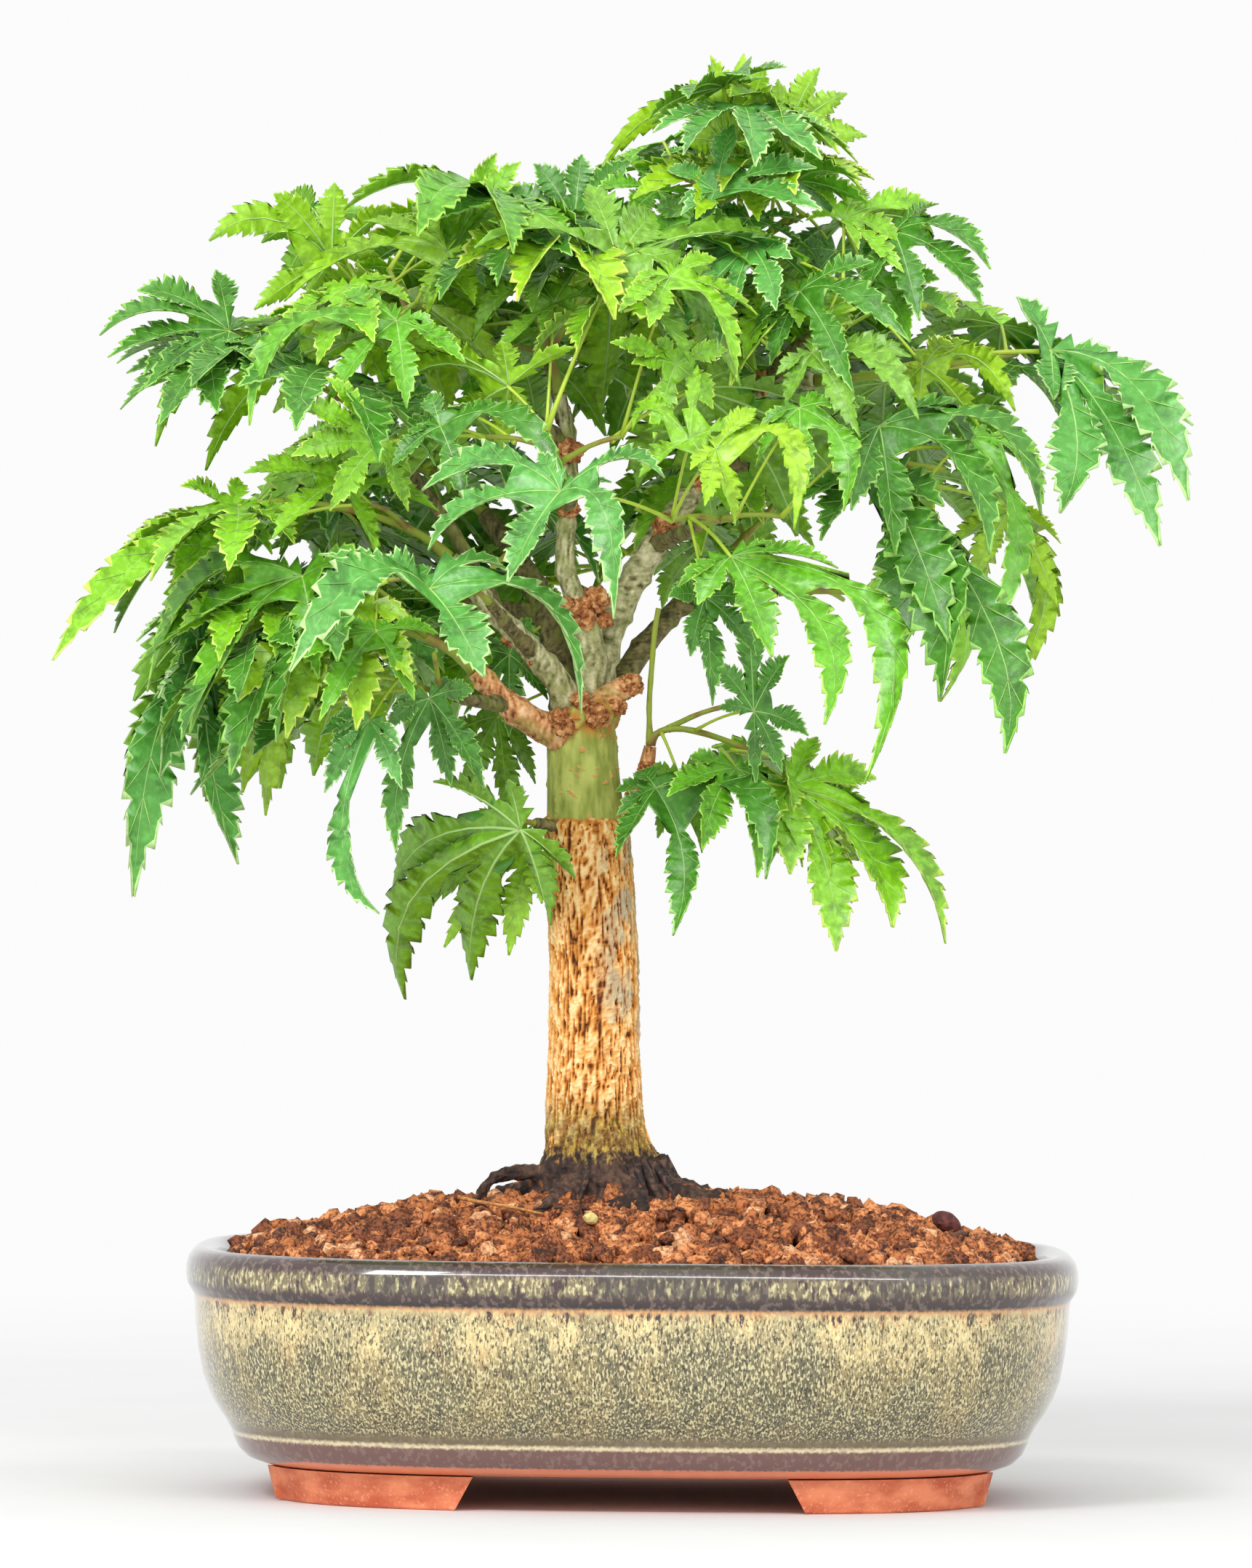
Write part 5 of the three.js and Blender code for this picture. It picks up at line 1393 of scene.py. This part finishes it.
# Whether a leaf leaves the photograph's open places free
def isClear(leaf):
    for spot in [leaf["junction"], *leaf["tips"], *((leaf["tips"] + leaf["controls"]) / 2)]:
        px, py = photoPixel(spot)
        for windows, depth in ((openFront, openTo["front"]), (openAll, openTo["all"])):
            inWindow = any(left < px < right and top < py < bottom for left, top, right, bottom in windows)
            if inWindow and spot[1] < depth:
                return False
    return True


# Every twig and leaf: those of the rule, mass by mass, then those that the photograph shows
def growFoliage():
    twigs, leaves = [], []
    for name, mass in massTable.items():
        massTwig, massLeaves = growMass(name, mass)
        twigs += massTwig
        leaves += massLeaves
    foot = np.array(limbs["branch_low_right"]["way"][-1], float)
    bare = [foot, *(photoPlace(px, py, foot[1]) for px, py in bareShoot)]
    twigs.append({"points": Way(bare).spaced(16), "foot": 1.0, "tip": 0.8})
    print("leaves by the rule", len(leaves))
    return twigs, leaves + photoFoliage(twigs)


def growMass(name, mass):
    limb = limbs[mass["limb"]]
    way = Way(limb["way"])
    end = way.endWay()
    start = {"at": way.points[-1] + end * 0.3, "way": end}
    twigs, tips = massTwigs(mass, start, limb["tip"] * growth["limbShare"])
    isOnSolid = solidFinder(name)
    leaves, number = [], 0
    for tip in tips:
        for order in range(tip["leaves"]):
            number += 1
            for attempt in range(growth["tries"]):
                leaf = leafOn(mass, tip, order, number, attempt)
                if all(isOnSolid(leafTip) for leafTip in leaf["tips"][2:5]):  # the three middle lobes
                    leaves.append(leaf)
                    break
    leaves += extraLeaves(name, mass, tips, leaves)
    return twigs, [leaf for leaf in leaves if leaf["junction"][1] > growth["photoSide"] and isClear(leaf)]


# Tells of a point whether it lies on the solid of a mass, where the source has a leaf's tip too
def solidFinder(name):
    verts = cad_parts[name].data.vertices
    solid = KDTree(len(verts))
    for index, vert in enumerate(verts):
        solid.insert(vert.co * metre, index)
    solid.balance()

    def isOnSolid(point):
        return solid.find(point)[2] < 0.5

    return isOnSolid


# Smaller leaves between the main ones, within the reach of the mass
def extraLeaves(name, mass, tips, own):
    low, high = (np.array(corner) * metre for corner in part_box(name))
    added = []
    for number in range(growth["extra"]):
        tip = tips[number % len(tips)]
        for attempt in range(growth["tries"]):
            leaf = leafOn(mass, tip, number % 3 + 1, 40 + number, attempt, growth["extraSizes"])
            isInside = all((end > low - 2).all() and (end < high + 2).all() for end in leaf["tips"])
            away = [np.linalg.norm(leaf["junction"] - other["junction"]) for other in own + added]
            if isInside and min(away, default=math.inf) > growth["apart"]:
                added.append(leaf)
                break
    return added


# Each leaf of the photograph hangs by its stalk from the nearest twig or limb
def photoFoliage(twigs):
    wood = [point for twig in twigs for point in twig["points"][1:]]
    for limb in limbs.values():
        wood += Way(limb["way"]).spaced(24)[3:]
    wood = np.array(wood)
    shown = [photoLeaf(row, number) for number, row in enumerate(photoLeaves)]
    for leaf in shown:
        fromFoot = np.linalg.norm(wood - leaf["foot"], axis=1)
        fromLeaf = np.linalg.norm(wood - leaf["junction"], axis=1)
        leaf["root"] = wood[int(np.argmin(fromFoot + 0.4 * fromLeaf))]
    print("leaves of the photograph", len(shown))
    return shown


# Leaf blade: lobes with a web between them, toothed margins pale with painted rim light, and a fold along
# each rib.
# Each vertex keeps the lobe it lies on, its share of that lobe's length and its way out from the rib.

def lobeStations(teeth):  # share of the lobe's length, and how far a tooth stands out or a gap cuts in
    rows = [(share, 0) for share in leafShape["web"]]
    start = leafShape["web"][-1]
    step = (1 - start) / teeth
    for tooth in range(teeth):
        rows += [(start + step * (tooth + share), cut) for share, cut in leafShape["toothSteps"]]
    return rows + [(1.02, 0)]


def lobeEdges(lobes, index, stations, roll):
    lobe = lobes[index]
    wide = lobe["share"] ** 0.6 * roll(*leafShape["widths"])
    widths = list(zip(*leafShape["outline"]))
    edges = {}
    for side in (-1, 1):
        other = index + side
        half = leafShape["outerWedge"]
        if 0 <= other < len(lobes):
            half = abs(lobes[other]["turn"] - lobe["turn"]) / 2
        for station, (place, tooth) in enumerate(stations):
            out = float(np.interp(place, *widths)) * wide
            if station < len(leafShape["web"]):
                out = place * lobe["length"] * math.tan(half)
            elif tooth:
                depth = leafShape["toothOut"] if tooth > 0 else leafShape["toothCut"]
                out *= 1 + depth * tooth * roll(0.6, 1.25)
            edges[side, station] = out
    return edges


def flatPlace(lobe, share, out, lift):
    turn, along = lobe["turn"], share * lobe["length"]
    x = math.cos(turn) * along - math.sin(turn) * out
    y = math.sin(turn) * along + math.cos(turn) * out
    return np.array([x, y, lift])


# A lobe as a grid: a rib, a column on each side of it and the two margins
def addLobe(bm, layers, lobes, index, stations, edges, fold, ripple):
    ownLayer, twinLayer, liftLayer = layers
    last, web = len(stations) - 1, len(leafShape["web"]) - 1
    grid = bmesh.ops.create_grid(bm, x_segments=4, y_segments=last, size=1)["verts"]
    for face in {face for vert in grid for face in vert.link_faces}:
        inMargin = min(abs(vert.co.x) for vert in face.verts) > 0.4
        isFree = min((vert.co.y + 1) / 2 * last for vert in face.verts) > web - 0.5
        # the outer strip of each free lobe takes the margin colour: painted rim light
        face.material_index = 1 if inMargin and isFree else 0
    for vert in grid:
        column, station = round((vert.co.x + 1) * 2) - 2, round((vert.co.y + 1) / 2 * last)
        onEdge = abs(column) == 2
        side = -1 if column < 0 else 1
        place, tooth = stations[station]
        out = edges[side, station]
        if not onEdge:
            inner = max(out * leafShape["marginShare"], out - leafShape["margin"])
            out = out / 2 if station < web else inner
        out = side * out if column else 0.0
        lift = fold * abs(out)
        if station > web:
            lift += ripple * 0.5 * tooth * min(1, abs(out) / 3)
        elif onEdge:
            lift = fold * place * leafShape["webLift"]
        spot = flatPlace(lobes[index], place, out, lift)
        shown = place + (leafShape["toothLean"] if onEdge and tooth > 0 else 0)
        vert[ownLayer] = vert[twinLayer] = (index, shown, out)
        other = index + side
        if onEdge and 0 < station <= web and 0 <= other < len(lobes):  # the web is shared by two lobes
            twinOut = -out * lobes[other]["length"] / lobes[index]["length"]
            vert[twinLayer] = (other, shown, twinOut)
            spot = (spot + flatPlace(lobes[other], place, twinOut, lift)) / 2
        vert.co, vert[liftLayer] = spot, lift


# Midrib and side veins of one lobe, a little proud of both sides of the blade
def addVeins(bm, layer, index, length, stations, edges, fold, ripple):
    steps = leafShape["veinSteps"]
    middle = -leafShape["thickness"] / 2
    line = [np.array([share * length, 0, middle]) for share in np.linspace(0, 0.96, steps)]
    sizes = np.linspace(*leafShape["veinRadii"], steps) * (length / leafShape["length"]) ** 0.4
    made = addTube(bm, line, sizes, 4)
    thick, thin = leafShape["sideVeinRadii"]
    ends = [(side * edges[side, station] * 0.88, place) for station, (place, tooth) in enumerate(stations)
            for side in (-1, 1) if tooth == 1 and place <= 0.93]
    for out, place in ends:
        foot = Vector((max(0.03, place - 0.13) * length, 0, -0.02))
        tip = Vector((place * length, out, fold * abs(out) + ripple * 0.42 - 0.02))
        turn = (tip - foot).to_track_quat("Z", "Y").to_matrix().to_4x4()
        at = Matrix.Translation((foot + tip) / 2) @ turn
        made += bmesh.ops.create_cone(bm, cap_ends=True, segments=3, radius1=thick, radius2=thin,
                                      depth=(tip - foot).length, matrix=at)["verts"]
    for vert in made:
        vert[layer] = (index, vert.co.x / length, vert.co.y)


def makeBlade(kind):
    roll = Dice(leafShape["seed"] + kind).roll
    lobes = [{"turn": math.radians(degrees), "length": leafShape["length"] * share, "share": share}
             for degrees, share in allLobes()]
    fold, ripple = roll(*leafShape["folds"]), roll(*leafShape["ripples"])
    bm, veins = bmesh.new(), bmesh.new()
    own, twin = (bm.verts.layers.float_vector.new(name) for name in ("own", "twin"))
    height = bm.verts.layers.float.new("lift")
    veinLayer = veins.verts.layers.float_vector.new("own")
    for index, lobe in enumerate(lobes):
        stations = lobeStations(leafShape["teeth"] if lobe["share"] > 0.5 else leafShape["baseTeeth"])
        edges = lobeEdges(lobes, index, stations, roll)
        addLobe(bm, (own, twin, height), lobes, index, stations, edges, fold, ripple)
        addVeins(veins, veinLayer, index, lobe["length"], stations, edges, fold, ripple)
    bmesh.ops.remove_doubles(bm, verts=bm.verts, dist=0.03)
    bmesh.ops.recalc_face_normals(bm, faces=bm.faces)
    if sum(face.normal.z for face in bm.faces) < 0:
        bmesh.ops.reverse_faces(bm, faces=bm.faces)
    bmesh.ops.solidify(bm, geom=bm.faces[:], thickness=leafShape["thickness"])
    bmesh.ops.recalc_face_normals(bm, faces=bm.faces)
    # edge faces take the margin colour as painted rim light; faces below take the underside, which is paler
    # and also brightened as painted light shining through
    for face in bm.faces:
        if face.normal.z < 0.25:
            face.material_index = 2 if face.normal.z < -0.25 else 1
    for vert in bm.verts:
        isUnder = vert.co.z < vert[height] - 0.05
        vert.co.z = vert[height] - (leafShape["thickness"] if isUnder else 0)
    return lobeParts(bm, [own, twin]), lobeParts(veins, [veinLayer])


# A blade's arrays, with the lobe, share and way out that each of its vertices keeps
def lobeParts(bm, layers):
    parts = meshParts(bm)
    parts["places"] = []
    for layer in layers:
        rows = np.array([vert[layer][:] for vert in bm.verts])
        parts["places"].append((rows[:, 0].round().astype(int), rows[:, 1:2], rows[:, 2:3]))
    return parts


# The blade laid along the lobes of its leaf
def laidBlade(parts, leaf):
    total = np.zeros((len(parts["co"]), 3))
    for index, share, out in parts["places"]:
        control, tip = leaf["controls"][index], leaf["tips"][index]
        at = leaf["junction"] * (1 - share) ** 2 + control * 2 * share * (1 - share) + tip * share ** 2
        way = (control - leaf["junction"]) * (1 - share) + (tip - control) * share
        way /= np.linalg.norm(way, axis=1)[:, None].clip(1e-6)
        normal = leaf["upper"] - way * (way @ leaf["upper"])[:, None]
        normal /= np.linalg.norm(normal, axis=1)[:, None].clip(1e-6)
        twist = leaf["twists"][index][:, None] * share ** 1.5
        normal = normal * np.cos(twist) + np.cross(normal, way) * np.sin(twist)
        total += at + np.cross(normal, way) * out * leaf["size"] + normal * parts["co"][:, 2:3] * leaf["size"]
    return total / len(parts["places"])


leafTones = {  # upper side, margin pale with painted rim light, underside paler and brighter with painted light shining through
    "deep": (paint(70, 136, 28), paint(142, 196, 84), paint(112, 166, 28)),
    "blue": (paint(86, 160, 60), paint(186, 230, 140), paint(118, 172, 44)),
    "mid": (paint(98, 170, 24), paint(162, 214, 76), paint(126, 184, 22)),
    "fresh": (paint(128, 192, 22), paint(190, 226, 82), paint(140, 192, 20)),
    "lime": (paint(154, 206, 26), paint(208, 234, 92), paint(152, 200, 20)),
}
toneShares = {
    "top": {"deep": 0.24, "blue": 0.14, "mid": 0.28, "fresh": 0.22, "lime": 0.12},
    "side": {"deep": 0.36, "blue": 0.18, "mid": 0.28, "fresh": 0.14, "lime": 0.04},
    "front": {"deep": 0.34, "blue": 0.22, "mid": 0.26, "fresh": 0.13, "lime": 0.05},
    "bright": {"deep": 0.14, "blue": 0.08, "mid": 0.36, "fresh": 0.28, "lime": 0.14},
}


leafLook = {
    # The first factor darkens random patches of each blade: its own mottling, with painted shade laid over
    # it. The next two brighten the ridges of the crinkle bump as a painted highlight.
    "shade": 0.6,
    "light": 1.45,
    "paintedHighlightLift": 0.03,
    "vein": (paint(150, 198, 104), paint(184, 218, 134)),
    "stalk": (paint(164, 200, 40), paint(206, 224, 84)),
    "twig": (paint(150, 168, 52), paint(146, 104, 58)),
}
stemShape = {
    "twigSides": 8,
    "twigNodes": 0.16,
    "twigTaper": (0.6, 0.75),
    "stalkSides": 6,
    "stalk": 0.55,
    "stalkRadii": [1.7, 1.15, 1, 0.95, 0.92, 0.92, 0.95, 1.0, 1.2],  # from its foot to the blade
}


def leafTone(leaf):
    if "tone" in leaf:
        return leaf["tone"]
    shares = toneShares[leaf["tones"]]
    pick = np.searchsorted(np.cumsum(list(shares.values())), min(leaf["toneShare"], 0.999))
    return list(shares)[int(pick)]


def leafFinish(name, colour):
    material, coords = startFinish(name)
    mottle, crinkleAndHighlight = coords.grain(6, detail=3), coords.grain(1.7, detail=3)
    shade = [value * leafLook["shade"] for value in colour[:3]] + [1.0]
    light = [min(1, value * leafLook["light"] + leafLook["paintedHighlightLift"]) for value in colour[:3]] + [1.0]
    # the blade's own mottling, darkened further as painted shade
    tone = mottle.step(0.3, 0.56).blend(shade, colour)
    # painted highlight on the ridges of the crinkle bump
    tone = (crinkleAndHighlight.step(0.42, 0.7) * 0.6).blend(tone, light)
    return endFinish(material, tone, 0.4, crinkleAndHighlight, bump=0.5, depth=0.45, Coat_Weight=0.2, Coat_Roughness=0.25)


def patchFinish(name, tones, roughness):
    material, coords = startFinish(name)
    return endFinish(material, coords.grain(6, detail=2).blend(*tones), roughness)


def makeTwigs(twigs, masses):
    bm = bmesh.new()
    nearFoot, nearTip = stemShape["twigTaper"]
    for twig in twigs:
        count = len(twig["points"])
        nodes = 1 + stemShape["twigNodes"] * np.sin(np.linspace(0, count * 1.9, count)) ** 2
        sizes = (twig["foot"], twig["foot"] * nearFoot, twig["tip"] * nearTip)
        slim = np.interp(np.linspace(0, 1, count), (0, 0.16, 1), sizes)
        addTube(bm, twig["points"], slim * nodes, stemShape["twigSides"])
    material, coords = startFinish("youngTwig")
    patch = coords.grain(7, detail=3)
    endFinish(material, patch.step(0.46, 0.7).blend(*leafLook["twig"]), 0.55, patch, bump=0.2, depth=0.2)
    finishPiece("twigs", bm, material, masses)


def makeStalks(leaves, masses):
    bm = bmesh.new()
    radii = np.array(stemShape["stalkRadii"])
    shares = np.linspace(0, 1, len(radii))
    for leaf in leaves:
        reach = leaf["junction"] - leaf["root"]
        knee = leaf["root"] + reach * 0.5 + up * min(5, 0.08 * np.linalg.norm(reach))
        end = leaf["junction"] + leaf["way"] * 0.4 - leaf["upper"] * 0.2
        line = [bowed(leaf["root"], knee, end, share) for share in shares]
        addTube(bm, line, stemShape["stalk"] * leaf["size"] ** 0.5 * radii, stemShape["stalkSides"])
    finishPiece("leaf_stalks", bm, patchFinish("leafStalk", leafLook["stalk"], 0.4), masses)


# Blades joined by tone, and all their veins
def makeBlades(leaves, masses):
    kinds = [makeBlade(kind) for kind in range(leafShape["kinds"])]
    blades, veins = [], []
    for leaf in leaves:
        blade, vein = kinds[leaf["kind"]]
        blades.append((leafTone(leaf), (blade, laidBlade(blade, leaf))))
        veins.append((vein, laidBlade(vein, leaf)))
    for tone, colours in leafTones.items():
        own = [copy for bladeTone, copy in blades if bladeTone == tone]
        mesh = joinedMesh("blades", own)
        finishes = [leafFinish("leaf_" + tone + "_" + side, colour)
                    for side, colour in zip(("upper", "margin", "under"), colours)]
        dressPiece("leaf_blades_" + tone, mesh, finishes, masses)
        print("leaf blades", tone, len(own), sum(len(face.vertices) - 2 for face in mesh.polygons))
    veinFinish = patchFinish("leafVein", leafLook["vein"], 0.45)
    dressPiece("leaf_veins", joinedMesh("veins", veins), veinFinish, masses)


# Room: pale floor, soft light and the camera of the photograph

roomLook = {
    "sky": 0.97,
    "fade": (300, 900),  # the floor turns into sky between these distances
    "floorRadius": 30000,
    "floor": (paint(219, 219, 219), paint(227, 227, 227)),
}
studioLights = [  # name, place, width and depth in metres, power in watts
    ("keyLight", (-0.9, -1.5, 1.6), 0.6, 0.6, 19),
    ("fillLight", (1.4, -1.2, 0.9), 1.0, 1.0, 2),
    ("stripLight", (0.0, -1.3, 1.1), 2.2, 0.11, 11),
]
lightAim = (0, 0, 0.17)


def floorFinish():
    material, coords = startFinish("paleFloor")
    away = coords.node("VectorMath", {"operation": "LENGTH"}, {0: coords}, "Value") * metre
    far = away.step(*roomLook["fade"])
    pale = coords.grain(60, detail=3).blend(*roomLook["floor"])
    black, sky = (0, 0, 0, 1), [roomLook["sky"]] * 3 + [1]
    return endFinish(material, far.blend(pale, black), 1.0, glow=far.blend(black, sky),
                     Emission_Strength=1.0, Specular_IOR_Level=0.0)


def makeFloor():
    bm = bmesh.new()
    bmesh.ops.create_circle(bm, cap_ends=True, segments=96, radius=roomLook["floorRadius"] / metre)
    mesh = bpy.data.meshes.new("floor")
    bm.to_mesh(mesh)
    bm.free()
    mesh.materials.append(floorFinish())
    floor = bpy.data.objects.new("floor", mesh)
    bpy.context.scene.collection.objects.link(floor)


def makeLights():
    world = bpy.data.worlds.new("studio")
    bpy.context.scene.world = world
    world.use_nodes = True
    background = world.node_tree.nodes["Background"]
    background.inputs["Color"].default_value = (1, 1, 1, 1)
    background.inputs["Strength"].default_value = roomLook["sky"]
    for name, place, width, depth, power in studioLights:
        light = bpy.data.lights.new(name, "AREA")
        light.shape, light.size, light.size_y, light.energy = "RECTANGLE", width, depth, power
        lamp = bpy.data.objects.new(name, light)
        lamp.location = place
        lamp.rotation_euler = (Vector(lightAim) - Vector(place)).to_track_quat("-Z", "Y").to_euler()
        bpy.context.scene.collection.objects.link(lamp)
    bpy.context.scene.view_settings.view_transform = "Standard"


cameraShape = {  # metres, degrees and a lens in millimetres
    "distance": 2.4,
    "height": 0.176,
    "aim": (-0.0027, 0, 0.168),
    "roll": 0.6,
    "lens": 233,
}


def makeCamera():
    camera = bpy.data.objects.new("camera", bpy.data.cameras.new("camera"))
    camera.data.lens = cameraShape["lens"]
    aim = Vector(cameraShape["aim"])
    camera.location = (aim.x, -cameraShape["distance"], cameraShape["height"])
    look = (aim - camera.location).to_track_quat("-Z", "Y").to_matrix().to_4x4()
    roll = Matrix.Rotation(math.radians(cameraShape["roll"]), 4, "Z")
    camera.matrix_world = Matrix.Translation(camera.location) @ look @ roll
    camera.data.clip_start, camera.data.clip_end = 0.05, 100
    bpy.context.scene.collection.objects.link(camera)
    bpy.context.scene.camera = camera


makeFloor()
makeLights()
makeCamera()
print("room")
makePot()
clay = clayFinish()
for end, signX in (("left", -1), ("right", 1)):
    for side, signY in (("front", -1), ("back", 1)):
        makeFoot(end, side, signX, signY, clay)
print("pot and feet")
makeSoil()
makeGrains()
makeLitter()
makeTrunk()
makeCalluses()
makeRootlets()
print("trunk")
boughFinishes = {name: boughFinish("bark_" + name, *tones) for name, tones in boughTones.items()}
for limbName, limb in limbs.items():
    makeLimb(limbName, limb, boughFinishes[limb["look"]])
print("limbs")
twigs, leaves = growFoliage()
masses = list(massTable)
makeTwigs(twigs, masses)
makeStalks(leaves, masses)
makeBlades(leaves, masses)
